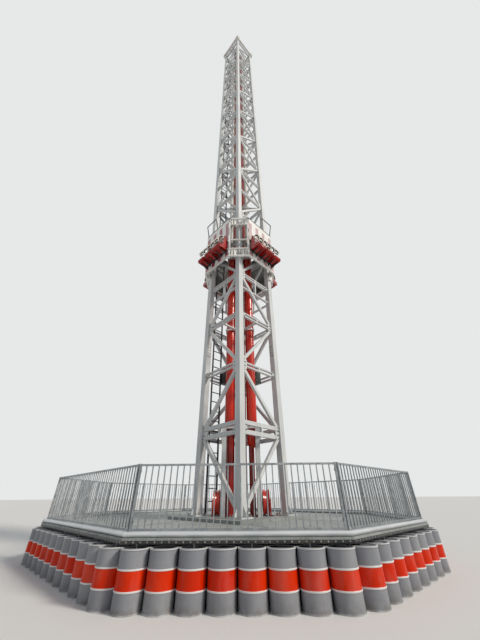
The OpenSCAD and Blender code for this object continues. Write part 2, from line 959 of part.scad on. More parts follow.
// Side view of the wing that holds the rider's hip and shoulder
module seat_wing() {
    b = seat_beam;
    f = seat_beam + shell_t;
    h = seat_back_h;
    polygon([
        [b, -seat_beam_h], [b + seat_deep, pan_rise - seat_beam_h], [f + seat_deep - 30, 0],
        [f + seat_deep - 70, 84], [f + wing_out + 60, 112], [f + wing_out, 0.2 * h],
        [f + wing_out - 12, 0.34 * h], [f + wing_out, 0.54 * h], [f + wing_out - 14, 0.67 * h],
        [f + 52, 0.77 * h], [f + 30, h - 60], [f - 10, h - 16], [b, h - 16]
    ]);
}

// Ear on the seat back that holds one end of the harness's hinge tube
module hinge_lug() {
    root = [seat_beam + shell_t / 2, seat_back_h - 90];
    tip = [pivot_x, pivot_z];
    band2d([root, tip + lug_r * unit(tip - root)], 2 * lug_r);
}

// Three bucket seats on one side of the carriage
module seats(i) {
    color(red)
        rotate(90 * i)
            for (k = [-1:1])
                translate([k * seat_pitch, 0, 0])
                    union() {
                        across(seat_w - 2 * wing_w)
                            seat_middle();
                        for (s = [-1, 1]) {
                            translate([s * (seat_w - wing_w) / 2, 0, 0])
                                across(wing_w)
                                    seat_wing();
                            translate([s * (seat_w - lug_t) / 2, 0, 0])
                                across(lug_t)
                                    hinge_lug();
                        }
                    }
}

// Shoulder harness that swings up about the tube behind the rider's head
module harness(i, k) {
    color(dark)
        rotate(90 * i)
            translate([k * seat_pitch, 0, 0])
                union() {
                    across(seat_w - 2 * (lug_t + hinge_gap))
                        translate(arm_path[0])
                            circle(hub_r);
                    across(arm_gap)
                        translate(arm_path[4])
                            circle(lap_r);
                    for (s = [-1, 1])
                        translate([s * arm_gap / 2, 0, 0]) {
                            across(harness_d)
                                band2d(arm_path, harness_d);
                            across(pad_w)
                                band2d([arm_path[2], arm_path[3], arm_path[4] + [0, pad_w]], pad_w);
                        }
                }
}

ground_frame();
skirt();
deck_plate();
deck_edge();
tower_plinth();
fence_panel(0);  // fence_1
fence_panel(1);  // fence_2
fence_panel(2);  // fence_3
fence_panel(3);  // fence_4
fence_panel(4);  // fence_5
fence_panel(5);  // fence_6
fence_panel(6);  // fence_7
fence_panel(7);  // fence_8
drums(0);  // drums_1
drums(1);  // drums_2
drums(2);  // drums_3
drums(3);  // drums_4
tower_legs();
bracing_side(0);  // bracing_1
bracing_side(1);  // bracing_2
bracing_side(2);  // bracing_3
bracing_side(3);  // bracing_4
head_frame();
head_beams();
head_sheaves();
lift_cylinders();
centre_pipe();
lift_pipes();
guide_pipes();
pipe_diaphragms();
cylinder_stand();
base_sheaves();
cabinets();
ladder();
carriage_ring(ring_top - ring_w);  // carriage_top_ring
carriage_ring(ring_z);  // carriage_bottom_ring
corner_frames();
guide_rollers();
hand_rails();
back_panels();
seat_beams();
seats(0);  // seats_1
seats(1);  // seats_2
seats(2);  // seats_3
seats(3);  // seats_4
harness(0, -1);  // harness_1_1
harness(0, 0);  // harness_1_2
harness(0, 1);  // harness_1_3
harness(1, -1);  // harness_2_1
harness(1, 0);  // harness_2_2
harness(1, 1);  // harness_2_3
harness(2, -1);  // harness_3_1
harness(2, 0);  // harness_3_2
harness(2, 1);  // harness_3_3
harness(3, -1);  // harness_4_1
harness(3, 0);  // harness_4_2
harness(3, 1);  // harness_4_3
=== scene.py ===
import math
import random

import bmesh
import bpy
from mathutils import Matrix, Vector


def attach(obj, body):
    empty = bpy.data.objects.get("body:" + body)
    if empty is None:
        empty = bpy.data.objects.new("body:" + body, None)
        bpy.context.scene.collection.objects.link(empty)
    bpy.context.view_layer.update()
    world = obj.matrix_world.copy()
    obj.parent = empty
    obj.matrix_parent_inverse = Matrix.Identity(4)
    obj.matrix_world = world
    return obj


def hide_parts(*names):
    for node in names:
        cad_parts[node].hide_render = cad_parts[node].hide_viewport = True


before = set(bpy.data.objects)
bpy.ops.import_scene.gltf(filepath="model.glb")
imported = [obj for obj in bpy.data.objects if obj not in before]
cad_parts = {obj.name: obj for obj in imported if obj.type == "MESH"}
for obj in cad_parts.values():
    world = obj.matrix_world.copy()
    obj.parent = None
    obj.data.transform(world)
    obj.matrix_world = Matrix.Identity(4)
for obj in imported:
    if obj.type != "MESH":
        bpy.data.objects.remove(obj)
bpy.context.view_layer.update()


# Studio: a pale floor and surround, soft daylight from the right and a camera at eye
# height in front of one corner of the tower, tilted up to take in its head.
def linear(code):
    """Linear RGBA of an sRGB hex colour such as c0c4c8."""
    parts = [int(code[i:i + 2], 16) / 255 for i in (0, 2, 4)]
    return [c / 12.92 if c <= 0.04045 else ((c + 0.055) / 1.055) ** 2.4 for c in parts] + [1]


def feed(tree, node, sockets):
    """Fill a node's sockets; each takes a number, a colour, an output or a node's first output."""
    for name, value in sockets.items():
        if isinstance(value, bpy.types.Node):
            value = value.outputs[0]
        if isinstance(value, bpy.types.NodeSocket):
            tree.links.new(value, node.inputs[name])
        else:
            node.inputs[name].default_value = value


def add(tree, kind, sockets=None, **settings):
    """Add a shader node, such as Math, with its settings and what goes into its sockets."""
    made = tree.nodes.new("ShaderNode" + kind)
    for name, value in settings.items():
        setattr(made, name, value)
    feed(tree, made, sockets or {})
    return made


def start_finish(name, roughness, **sockets):
    """A new material with a Principled shader: returns the material, its tree and shader."""
    material = bpy.data.materials.new(name)
    material.use_nodes = True
    tree = material.node_tree
    tree.nodes.clear()
    values = {"Roughness": roughness} | {k.replace("_", " "): v for k, v in sockets.items()}
    shader = add(tree, "BsdfPrincipled", values)
    add(tree, "OutputMaterial", {"Surface": shader})
    return material, tree, shader


def at(x, y, z):
    """Matrix that moves something to a place in metres."""
    return Matrix.Translation((x, y, z))


def turned(degrees, axis="Z"):
    """Matrix that turns something about an axis through the origin."""
    return Matrix.Rotation(math.radians(degrees), 4, axis)


pale = linear("eceeee")
world = bpy.data.worlds.new("surround")
world.use_nodes = True
sky = world.node_tree
sky.nodes.clear()
rays = add(sky, "LightPath").outputs
seen = add(sky, "Math", {0: rays["Is Camera Ray"], 1: rays["Is Glossy Ray"]}, operation="MAXIMUM")
seen = add(sky, "Math", {0: seen, 1: rays["Is Transmission Ray"]}, operation="MAXIMUM")
fill = add(sky, "Background", {"Color": linear("f4f8ff"), "Strength": 0.36})
backdrop = add(sky, "Background", {"Color": pale, "Strength": 0.95})
both = add(sky, "MixShader", {0: seen, 1: fill, 2: backdrop})
add(sky, "OutputWorld", {"Surface": both})
bpy.context.scene.world = world

towards_sun = Vector((0.25, -0.78, 0.6))
sun = bpy.data.objects.new("sun", bpy.data.lights.new("sun", "SUN"))
sun.data.energy = 2.4
sun.data.angle = math.radians(14)
sun.data.color = linear("fff6ea")[:3]
sun.rotation_euler = towards_sun.to_track_quat("Z", "Y").to_euler()
bpy.context.scene.collection.objects.link(sun)

floor_half = 400
floor_mesh = bpy.data.meshes.new("floor")
floor_bm = bmesh.new()
bmesh.ops.create_grid(floor_bm, x_segments=1, y_segments=1, size=floor_half)
bmesh.ops.translate(floor_bm, verts=floor_bm.verts, vec=(0, 0, -0.001))
floor_bm.to_mesh(floor_mesh)
floor_bm.free()
floor = bpy.data.objects.new("floor", floor_mesh)
bpy.context.scene.collection.objects.link(floor)
# Matt paper or paint: no gloss at all, so that only the shadow shows on it.
plain_floor, tree, shader = start_finish("matt_studio_floor", 0.9, Base_Color=linear("e2e3e2"))
floor.data.materials.append(plain_floor)

focal_px = 271.8
picture_px = 640
sensor_mm = 36
eye = (-6.028, -6.218, 1.191)
heading, tilt, roll = -44.11, 33.046, -0.452637
camera = bpy.data.objects.new("camera", bpy.data.cameras.new("camera"))
camera.data.sensor_width = sensor_mm
camera.data.lens = focal_px * sensor_mm / picture_px
camera.data.clip_end = 1000
camera.matrix_world = at(*eye) @ turned(heading) @ turned(90 + tilt, "X") @ turned(roll)
bpy.context.scene.collection.objects.link(camera)
bpy.context.scene.camera = camera
bpy.context.scene.view_settings.view_transform = "Standard"


# Ground frame and skirt: welded sill beams on the ground with stub posts, hot dip
# galvanised, closed off behind the drums with phenolic faced plywood boards.
def coat(name, material):
    """Give a CAD node one finish on every face."""
    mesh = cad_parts[name].data
    mesh.materials.clear()
    mesh.materials.append(material)


def where(tree, size, stretch=1):
    """Object coordinates divided by a real size in metres, drawn out along Z by stretch."""
    place = add(tree, "TexCoord").outputs["Object"]
    scale = (1 / size, 1 / size, 1 / size / stretch)
    return add(tree, "Mapping", {"Vector": place, "Scale": scale})


def axes(tree):
    """The X, Y and Z outputs of the object coordinates."""
    return add(tree, "SeparateXYZ", {0: add(tree, "TexCoord").outputs["Object"]}).outputs


def blotch(tree, size, low, high, stretch=1):
    """Noise of a real size in metres, spread from 0 to 1 between its low and high levels."""
    noise = add(tree, "TexNoise", {"Vector": where(tree, size, stretch), "Scale": 1, "Detail": 4})
    return add(tree, "MapRange", {"Value": noise, "From Min": low, "From Max": high})


def two_tone(tree, first, second, *patches):
    """Two close tones of one finish, in patches as in blotch."""
    return add(tree, "MixRGB", {0: blotch(tree, *patches), 1: linear(first), 2: linear(second)})


def stain(tree, under, code, most, *patches):
    """Cover a colour with another up to the share most, in patches as in blotch."""
    share = add(tree, "Math", {0: blotch(tree, *patches), 1: most}, operation="MULTIPLY")
    return add(tree, "MixRGB", {0: share, 1: under, 2: linear(code)})


def relief(tree, kind, size, strength, depth, sockets=None, **settings):
    """Bump of a depth in metres from a texture drawn at a real size in metres."""
    texture = {"Vector": where(tree, size), "Scale": 1} | (sockets or {})
    height = add(tree, kind, texture, **settings)
    return add(tree, "Bump", {"Height": height, "Strength": strength, "Distance": depth})


# Dull grey zinc with a faint patchwork of crystals, about 12 mm across on the real
# steel and drawn at 60 mm so that it shows; it dulls and darkens where water runs.
zinc_crystal = 0.06
zinc, tree, shader = start_finish("hot_dip_galvanised_steel", 0.46, Metallic=0.8)
crystal = add(tree, "TexVoronoi", {"Vector": where(tree, zinc_crystal), "Scale": 1})
tone = add(tree, "SeparateColor", {0: crystal.outputs["Color"]})
colour = add(tree, "MixRGB", {0: tone, 1: linear("8d9296"), 2: linear("a9adb0")})
colour = stain(tree, colour, "6f7376", 0.5, 0.25, 0.45, 0.75, 3)
rough = add(tree, "MapRange", {"Value": tone, "To Min": 0.38, "To Max": 0.56})
feed(tree, shader, {"Base Color": colour, "Roughness": rough})
for name in ["ground_frame"] + [f"fence_{i}" for i in range(1, 9)]:
    coat(name, zinc)

# Almost black film over birch ply: low sheen, a fine wire-mesh emboss and pale scuffs.
film_mesh = 0.004
board, tree, shader = start_finish("phenolic_film_on_plywood", 0.5)
colour = two_tone(tree, "26272a", "3b3b3a", 0.6, 0.4, 0.7)
emboss = add(tree, "TexChecker", {"Vector": where(tree, film_mesh), "Scale": 1})
bump = add(tree, "Bump", {"Height": emboss.outputs[1], "Strength": 0.15, "Distance": 0.0004})
feed(tree, shader, {"Base Color": colour, "Normal": bump})
coat("skirt", board)


# Deck: steel tread plate on the frame, with a welded edge tube and an edge beam below
# it. Screwed cover bars close the joints that run from the tower to each corner.
deck_z = 0.72
deck_r = 3.87
plinth_half = 1.35
tread_pitch = 0.04

# Grey brush paint on rolled steel, dulled by shoes, with the raised bars of the tread.
tread, tree, shader = start_finish("painted_tread_plate", 0.55)
colour = two_tone(tree, "9fa4a2", "8a908d", 0.8, 0.35, 0.7)
colour = stain(tree, colour, "6d716e", 0.6, 0.12, 0.5, 0.72)
bars = add(
    tree, "TexVoronoi", {"Vector": where(tree, tread_pitch), "Scale": 1}, distance="CHEBYCHEV",
)
lump = add(
    tree, "MapRange", {"Value": bars, "From Min": 0.3, "From Max": 0.45, "To Min": 1, "To Max": 0},
)
bump = add(tree, "Bump", {"Height": lump, "Strength": 0.7, "Distance": 0.003})
feed(tree, shader, {"Base Color": colour, "Normal": bump})
coat("deck_plate", tread)
coat("tower_plinth", tread)

# Bright rolled tube along the edge, polished by hands and shoes, over a beam painted dark
# grey as the shade under the tube: the beam starts under the plate.
edge, tree, shader = start_finish("edge_tube_and_beam", 0.36, Metallic=0.6)
up = axes(tree)[2]
above = add(tree, "Math", {0: up, 1: deck_z - 0.02}, operation="GREATER_THAN")
tube = two_tone(tree, "d6d9db", "c3c7ca", 0.7, 0.35, 0.7, 3)
# scale holds the beam's painted shade: dark grey below the plate.
scale = two_tone(tree, "3c3c3d", "504b46", 0.12, 0.4, 0.7)
feed(tree, shader, {"Base Color": add(tree, "MixRGB", {0: above, 1: scale, 2: tube})})
coat("deck_edge", edge)


def small_part(name, build):
    """A mesh that is stamped many times; build makes it in an empty bmesh."""
    bm = bmesh.new()
    build(bm)
    bmesh.ops.recalc_face_normals(bm, faces=bm.faces)
    mesh = bpy.data.meshes.new(name)
    bm.to_mesh(mesh)
    bm.free()
    return mesh


def stamp(target, part, matrix):
    """Add a copy of a small part to the bmesh target."""
    fresh = part.copy()
    fresh.transform(matrix)
    target.from_mesh(fresh)
    bpy.data.meshes.remove(fresh)


def fit(name, bm, material, body, smooth=0):
    """Turn a bmesh into a finished piece that rides on a body; smooth is an angle in degrees."""
    mesh = bpy.data.meshes.new(name)
    bm.to_mesh(mesh)
    bm.free()
    piece = bpy.data.objects.new(name, mesh)
    bpy.context.scene.collection.objects.link(piece)
    mesh.materials.append(material)
    if smooth:
        mesh.shade_smooth()
        mesh.set_sharp_from_angle(angle=math.radians(smooth))
    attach(piece, body)
    return piece


def merge(target, fresh, place):
    """Move the finished bmesh fresh to its place and add it to target."""
    mesh = bpy.data.meshes.new("fresh")
    fresh.to_mesh(mesh)
    fresh.free()
    mesh.transform(place)
    target.from_mesh(mesh)
    bpy.data.meshes.remove(mesh)


def block(target, low, high, edge=0.0, steps=1, place=Matrix()):
    """Add a block between two corners, with its edges rounded by edge."""
    low, high = Vector(low), Vector(high)
    size = Matrix.Diagonal((*(high - low), 1))
    bm = bmesh.new()
    bmesh.ops.create_cube(bm, size=1, matrix=at(*(low + high) / 2) @ size)
    if edge:
        bmesh.ops.bevel(bm, geom=list(bm.edges), offset=edge, segments=steps, affect="EDGES",
                        profile=0.5, material=-1)
    merge(target, bm, place)


def disc(target, radius, low, high, sides, edge=0.0, place=Matrix()):
    """Add a cylinder from low to high on the local Z axis, with chamfered rims."""
    bm = bmesh.new()
    bmesh.ops.create_cone(
        bm, cap_ends=True, segments=sides, radius1=radius, radius2=radius, depth=high - low,
        matrix=at(0, 0, (low + high) / 2),
    )
    if edge:
        rims = [e for e in bm.edges if abs(e.verts[0].co.z - e.verts[1].co.z) < 1e-6]
        bmesh.ops.bevel(bm, geom=rims, offset=edge, segments=1, affect="EDGES", profile=0.5, material=-1)
    merge(target, bm, place)


def hexagon_bolt(across):
    """Hexagon head on a washer, standing on z = 0."""
    def build(bm):
        disc(bm, across * 0.95, 0, across * 0.16, 12)
        disc(bm, across * 0.577, across * 0.16, across * 0.8, 6, across * 0.07)
        disc(bm, across * 0.3, across * 0.8, across * 1.1, 8)
    return build


def dome_bolt(radius):
    """Low domed head, standing on z = 0."""
    def build(bm):
        bmesh.ops.create_circle(bm, segments=10, radius=radius)
        edges = foot = list(bm.edges)
        for scale, rise in ((0.78, 0.42), (0.3, 0.22)):
            grown = bmesh.ops.extrude_edge_only(bm, edges=edges)["geom"]
            ring = [g for g in grown if isinstance(g, bmesh.types.BMVert)]
            edges = [g for g in grown if isinstance(g, bmesh.types.BMEdge)]
            bmesh.ops.scale(bm, verts=ring, vec=(scale, scale, 1))
            bmesh.ops.translate(bm, verts=ring, vec=(0, 0, radius * rise))
        bmesh.ops.contextual_create(bm, geom=edges)
        bmesh.ops.contextual_create(bm, geom=foot)
    return build


# The two long sides of the base are drawn out towards the rear.
deck_more = 1.19


def at_side(i):
    """Matrix of side i of the base, whose own x runs along the side."""
    back = deck_more if 2 < i < 6 else 0
    return at(0, back, 0) @ turned(45 * i)


def ends(i, half):
    """Both ends of side i along its own x, when a short side would be half long each way."""
    more = {2: deck_more, 6: -deck_more}.get(i, 0)
    return min(more, 0) - half, max(more, 0) + half


# Degrees from the middle of a side to the corner after it.
half_side = 22.5
side_cos = math.cos(math.radians(half_side))
side_tan = math.tan(math.radians(half_side))


def at_corner(i):
    """Matrix of the corner after side i of the base."""
    return at(0, deck_more if 2 <= i <= 5 else 0, 0) @ turned(half_side + 45 * i)


# Deck details: cover bars over the plate joints with countersunk screws, and a row of
# domed bolts along the edge beam, with short pins that steady every second drum.
screw = small_part("countersunk_screw", lambda bm: disc(bm, 0.008, 0, 0.002, 10, 0.0006))
dome = small_part("dome_bolt", dome_bolt(0.012))
flat_t = 0.005
bar_w = 0.06
covers = bmesh.new()
screws = bmesh.new()
fence_inner = deck_r - 0.14
for i in range(8):
    turn = at_corner(i)
    a = math.radians(half_side + 45 * i)
    start = plinth_half / max(abs(math.cos(a)), abs(math.sin(a)))
    end = fence_inner / side_cos
    block(covers, (start + 0.01, -bar_w / 2, deck_z), (end, bar_w / 2, deck_z + flat_t), 0.0015, 1, turn)
    count = 9
    for k in range(count):
        x = start + 0.06 + (end - start - 0.12) * k / (count - 1)
        for side in (-1, 1):
            stamp(screws, screw, turn @ at(x, side * bar_w / 3, deck_z + flat_t))
fit("joint_covers", covers, zinc, "base")

edge_beam_low = 0.65
pitch = 0.1
pin_r = 0.008
drum_lid = 0.606
drum_r = 0.196
fit_gap = 0.0003
deck_half = deck_r * side_tan


def drum_spots(i):
    """Places of the drums along side i: 8 on a short side and 11 on a long one."""
    low, high = ends(i, deck_half - (drum_r + fit_gap) / side_cos)
    gaps = int((high - low) / (2 * drum_r + fit_gap))
    return [low + (high - low) * k / gaps for k in range(gaps + 1)]


pins = bmesh.new()
for i in range(8):
    turn = at_side(i)
    low, high = ends(i, deck_half - 0.06)
    count = round((high - low) / pitch)
    for k in range(count + 1):
        x = low + (high - low) * k / count
        place = at(x, -deck_r, deck_z - 0.05) @ turned(90, "X")
        stamp(screws, dome, turn @ place)
    for x in drum_spots(i)[::2]:
        spot = at(x, -deck_r + 0.03, 0)
        disc(pins, pin_r, drum_lid, edge_beam_low, 10, 0, turn @ spot)
        disc(pins, pin_r * 2, edge_beam_low - 0.006, edge_beam_low, 10, 0, turn @ spot)
fit("deck_screws", screws, zinc, "base", 40)
fit("drum_pins", pins, zinc, "base", 40)


# Drums: 60 litre steel drums with rolled rims and two hoops, sprayed grey with a red
# middle third. The hoops and rims are rubbed pale; each lid has two screwed bungs.
drum_h = 0.622
third = drum_h / 3
drum_paint, tree, shader = start_finish("sprayed_drum_enamel", 0.36, Specular_IOR_Level=0.15)
up = axes(tree)[2]
middle = add(tree, "Math", {0: up, 1: drum_h / 2, 2: third / 2}, operation="COMPARE")
lower_hoop = add(tree, "Math", {0: up, 1: third, 2: 0.0095}, operation="COMPARE")
upper_hoop = add(tree, "Math", {0: up, 1: 2 * third, 2: 0.0095}, operation="COMPARE")
hoops = add(tree, "Math", {0: lower_hoop, 1: upper_hoop}, operation="MAXIMUM")
top_rim = add(tree, "Math", {0: up, 1: drum_h, 2: 0.014}, operation="COMPARE")
foot_rim = add(tree, "Math", {0: up, 1: 0, 2: 0.012}, operation="COMPARE")
rims = add(tree, "Math", {0: top_rim, 1: foot_rim}, operation="MAXIMUM")
batch = blotch(tree, 0.9, 0.35, 0.65)
grey = add(tree, "MixRGB", {0: batch, 1: linear("868a91"), 2: linear("94979c")})
red = add(tree, "MixRGB", {0: batch, 1: linear("c92402"), 2: linear("db3304")})
colour = add(tree, "MixRGB", {0: middle, 1: grey, 2: red})
colour = stain(tree, colour, "d9d2c8", 0.1, 0.22, 0.5, 0.75, 2.5)
colour = add(tree, "MixRGB", {0: hoops, 1: colour, 2: linear("dcdddc")})
colour = add(tree, "MixRGB", {0: rims, 1: colour, 2: linear("c6c8c9")})
# Darker and a little rougher towards the bottom, in patches.
low_darkening = add(
    tree, "MapRange", {"Value": up, "From Min": 0.02, "From Max": 0.16, "To Min": 0.55, "To Max": 0},
)
low_darkening = add(tree, "Math", {0: low_darkening, 1: blotch(tree, 0.09, 0.35, 0.65)}, operation="MULTIPLY")
colour = add(tree, "MixRGB", {0: low_darkening, 1: colour, 2: linear("6e675d")})
colour = stain(tree, colour, "77706a", 0.6, 0.03, 0.7, 0.73)
rough = add(tree, "MapRange", {"Value": batch, "To Min": 0.28, "To Max": 0.42})
rough = add(tree, "Math", {0: low_darkening, 1: 0.5, 2: rough}, operation="MULTIPLY_ADD")
bump = relief(tree, "TexNoise", 0.3, 0.5, 0.012, {"Detail": 1})
feed(tree, shader, {"Base Color": colour, "Roughness": rough, "Normal": bump})
for i in range(1, 5):
    coat(f"drums_{i}", drum_paint)


def bung(radius):
    """Screwed plug with a square key in its middle."""
    def build(bm):
        disc(bm, radius, 0, 0.006, 20, 0.0015)
        disc(bm, radius * 0.72, 0.006, 0.008, 16)
        block(bm, (-radius * 0.3, -radius * 0.3, 0.008), (radius * 0.3, radius * 0.3, 0.014), 0.002)
    return build


# Black lacquer on a pressed steel cap: dull and even.
bung_black, tree, shader = start_finish("black_bung_cap", 0.5, Base_Color=linear("26282a"))
big_bung = small_part("big_bung", bung(0.034))
small_bung = small_part("small_bung", bung(0.018))
weld = small_part(
    "drum_weld",
    lambda bm: block(bm, (-0.003, -0.0012, 0.03), (0.003, 0.0012, drum_h - 0.03), 0.001),
)
bung_reach = 0.125
draw = random.Random(3)
bungs = bmesh.new()
welds = bmesh.new()
for i in range(8):
    for x in drum_spots(i):
        spot = at_side(i) @ at(x, -deck_r, 0)
        spin = turned(math.degrees(draw.uniform(0, 2 * math.pi)))
        stamp(bungs, big_bung, spot @ spin @ at(bung_reach, 0, drum_lid))
        stamp(bungs, small_bung, spot @ spin @ at(-bung_reach, 0.02, drum_lid))
        turn = turned(math.degrees(draw.uniform(-1.3, 1.3)))
        stamp(welds, weld, spot @ turn @ at(0, -drum_r + 0.0062, 0))
fit("drum_bungs", bungs, bung_black, "base", 40)
fit("drum_welds", welds, drum_paint, "base", 40)


# Fence: eight welded panels of square bars between two rails, bolted to the deck by
# base plates on the end posts and clamped to each other at the corners.
post = 0.032
fence_set_back = 0.074
fence_r = deck_r - fence_set_back - post / 2
fence_h = 0.92
reach = fence_r * side_tan - post * side_tan / 2 - fit_gap
post_bolt = small_part("post_bolt", hexagon_bolt(0.017))
clamp_in = post / 2 * side_cos + 0.003
clamp_t = 0.006
foot_t = 0.008
cap_t = 0.005
fittings = bmesh.new()
bolts = bmesh.new()
for i in range(8):
    turn = at_side(i)
    for side, end in zip((-1, 1), ends(i, reach - post / 2)):
        outer, inner = end + side * post / 2, end - side * 0.07
        block(fittings, (min(outer, inner), -fence_r - post / 2, deck_z),
              (max(outer, inner), -fence_r + 0.085, deck_z + foot_t), 0.002, 1, turn)
        cap = post / 2 + 0.001
        block(fittings, (end - cap, -fence_r - cap, deck_z + fence_h),
              (end + cap, -fence_r + cap, deck_z + fence_h + cap_t), 0.002, 1, turn)
        for y in (0.036, 0.066):
            stamp(bolts, post_bolt, turn @ at(end - side * 0.045, -fence_r + y, deck_z + foot_t))
    corner = at_corner(i)
    clamp_y = clamp_in - fence_r / side_cos
    for z in (0.18, 0.52, 0.82):
        block(fittings, (-0.045, clamp_y, deck_z + z - 0.02),
              (0.045, clamp_y + clamp_t, deck_z + z + 0.02), 0.002, 1, corner)
        for x in (-0.024, 0.024):
            place = at(x, clamp_y + clamp_t, deck_z + z) @ turned(-90, "X")
            stamp(bolts, post_bolt, corner @ place)
fit("fence_fittings", fittings, zinc, "base")
fit("fence_bolts", bolts, zinc, "base", 40)


# Tower legs: square hollow sections welded from 6 m lengths, with ribbed foot plates on
# anchor bolts. Light grey satin paint over primer, streaked by rain.
leg_c = 0.82
leg_half = 0.095
leg_inner = leg_c - leg_half
plinth_z = 0.78
foot_top = plinth_z + 0.03
bays = 20
first_level = 2.75
last_level = 38.92
bay_h = (last_level - first_level) / bays


def tower_finish(name, light, dull, dirt):
    """Satin brush paint with soft vertical streaks and a little dust in the pores."""
    material, tree, shader = start_finish(name, 0.42, Coat_Weight=0.1, Coat_Roughness=0.3)
    colour = two_tone(tree, light, dull, 1.4, 0.35, 0.65)
    colour = stain(tree, colour, dirt, 0.45, 0.05, 0.5, 0.8, 24)
    colour = stain(tree, colour, "7c6455", 0.5, 0.02, 0.68, 0.72)
    brushed = add(tree, "TexNoise", {"Vector": where(tree, 0.008, 6), "Scale": 1, "Detail": 2})
    rough = add(tree, "MapRange", {"Value": brushed, "To Min": 0.34, "To Max": 0.52})
    bump = add(tree, "Bump", {"Height": brushed, "Strength": 0.2, "Distance": 0.0008})
    feed(tree, shader, {"Base Color": colour, "Roughness": rough, "Normal": bump})
    return material


tower_paint = tower_finish("light_grey_satin_paint", "d4d7d7", "c2c6c8", "8b8d8a")
coat("tower_legs", tower_paint)

# Bright zinc plating: a cold metal shine, dulled here and there by weather.
plated, tree, shader = start_finish("zinc_plated_bolts", 0.35, Metallic=1.0)
colour = two_tone(tree, "b4b6b4", "8f8d86", 0.02, 0.4, 0.7)
feed(tree, shader, {"Base Color": colour})


def anchor(bm):
    """Threaded stud with a washer and a nut, standing on z = 0."""
    disc(bm, 0.03, 0, 0.005, 16)
    disc(bm, 0.021, 0.005, 0.024, 6, 0.002)
    disc(bm, 0.012, 0.024, 0.046, 10, 0.002)


stud = small_part("anchor_stud", anchor)
bolt_24 = small_part("hexagon_bolt_24", hexagon_bolt(0.026))
anchors = bmesh.new()
far, near = 0.165, 0.078
spots = [(x, y) for x in (-far, far) for y in (-far, -near, near, far)]
spots += [(x, y) for x in (-near, near) for y in (-far, far)]
for a in (-leg_c, leg_c):
    for b in (-leg_c, leg_c):
        for x, y in spots:
            stamp(anchors, stud, at(a + x, b + y, foot_top))
fit("anchor_bolts", anchors, plated, "base", 40)

splices = bmesh.new()
bolts = bmesh.new()
splice_t = 0.008
splice_long, splice_wide = 0.2, 0.07
for i in range(4):
    for n in range(1, bays, 3):
        z = first_level + (n + 0.5) * bay_h
        turn = turned(90 * i)
        for flip in (0, 1):
            face = at(-leg_inner, -leg_c, z) @ turned(90, "Y")
            if flip:
                face = at(-leg_c, -leg_inner, z) @ turned(-90, "X")
            x, y = (splice_wide, splice_long) if flip else (splice_long, splice_wide)
            block(splices, (-x, -y, 0), (x, y, splice_t), 0.003, 1, turn @ face)
            for u in (-0.16, -0.06, 0.06, 0.16):
                for v in (-0.042, 0.042):
                    spot = (v, u, splice_t) if flip else (u, v, splice_t)
                    stamp(bolts, bolt_24, turn @ face @ at(*spot))
fit("leg_splices", splices, tower_paint, "base")
fit("splice_bolts", bolts, plated, "base", 40)


# Bracing: twin ties and single diagonals in each face, bolted to gusset plates that
# are welded to the legs. The same paint, a shade greyer where it is out of the sun.
for i in range(1, 5):
    coat(f"bracing_{i}", tower_paint)

brace_off = 0.042
brace_face = leg_c + brace_off
gusset_t = 0.008


def gusset(reach, half, nose):
    """Plate with two cut corners, its root on the leg at x = 0, standing out by gusset_t."""
    def build(bm):
        outline = [(0, -half), (reach - nose, -half), (reach, -half + nose), (reach, half - nose),
                   (reach - nose, half), (0, half)]
        verts = [bm.verts.new((x, 0, z)) for x, z in outline]
        face = bm.faces.new(verts)
        grown = bmesh.ops.extrude_face_region(bm, geom=[face])["geom"]
        moved = [g for g in grown if isinstance(g, bmesh.types.BMVert)]
        bmesh.ops.translate(bm, verts=moved, vec=(0, -gusset_t, 0))
    return build


node_gusset = small_part("node_gusset", gusset(0.16, 0.19, 0.06))
tie_gusset = small_part("tie_gusset", gusset(0.12, 0.09, 0.02))
gussets = bmesh.new()
bolts = bmesh.new()
lay = turned(90, "X")
for i in range(4):
    turn = turned(90 * i)
    flip = 1 if i % 2 == 0 else -1
    for n in range(bays + 1):
        z = first_level + n * bay_h
        if n == bays:
            z -= 0.1
        side = flip if n % 2 == 0 else -flip
        for s, plate in ((side, node_gusset), (-side, tie_gusset)):
            root = at(s * leg_inner, -brace_face, z)
            mirror = turned(180, "Y") if s > 0 else Matrix()
            stamp(gussets, plate, turn @ root @ mirror)
            spots = [(0.04, 0.059), (0.04, -0.059), (0.09, 0.059), (0.09, -0.059)]
            if plate is node_gusset:
                spots += [(0.04, 0.15), (0.04, -0.15)]
            for u, w in spots:
                spot = at(s * (leg_inner - u), -brace_face - gusset_t, z + w)
                stamp(bolts, bolt_24, turn @ spot @ lay)
fit("gusset_plates", gussets, tower_paint, "base")
fit("gusset_bolts", bolts, plated, "base", 40)


# Head: a channel frame round the tower top, red on two sides and white on the others,
# with beams across it that carry the cast rope wheels on a greased axle.
head_z = 39.0
head_top = 39.5
head_half = 1.045
lap_x = 0.9
lap_t = 0.008

# Brush enamel: a soft gloss with grey runs; red webs show on two sides between white flanges.
head_paint, tree, shader = start_finish("head_frame_enamel", 0.35)
side_on = add(tree, "SeparateXYZ", {0: add(tree, "NewGeometry").outputs["Normal"]})
side_on = add(tree, "Math", {0: side_on}, operation="ABSOLUTE")
side_on = add(tree, "Math", {0: side_on, 1: 0.6}, operation="GREATER_THAN")
up = axes(tree)[2]
web = add(tree, "Math", {0: up, 1: (head_z + head_top) / 2, 2: 0.205}, operation="COMPARE")
white = two_tone(tree, "e4e5e2", "d2d3cf", 0.7, 0.35, 0.7)
red = two_tone(tree, "7e1415", "93201d", 0.7, 0.35, 0.7)
share = add(tree, "Math", {0: side_on, 1: web}, operation="MULTIPLY")
colour = add(tree, "MixRGB", {0: share, 1: white, 2: red})
colour = stain(tree, colour, "77716b", 0.4, 0.06, 0.5, 0.8, 8)
feed(tree, shader, {"Base Color": colour})
coat("head_frame", head_paint)
coat("head_beams", tower_paint)

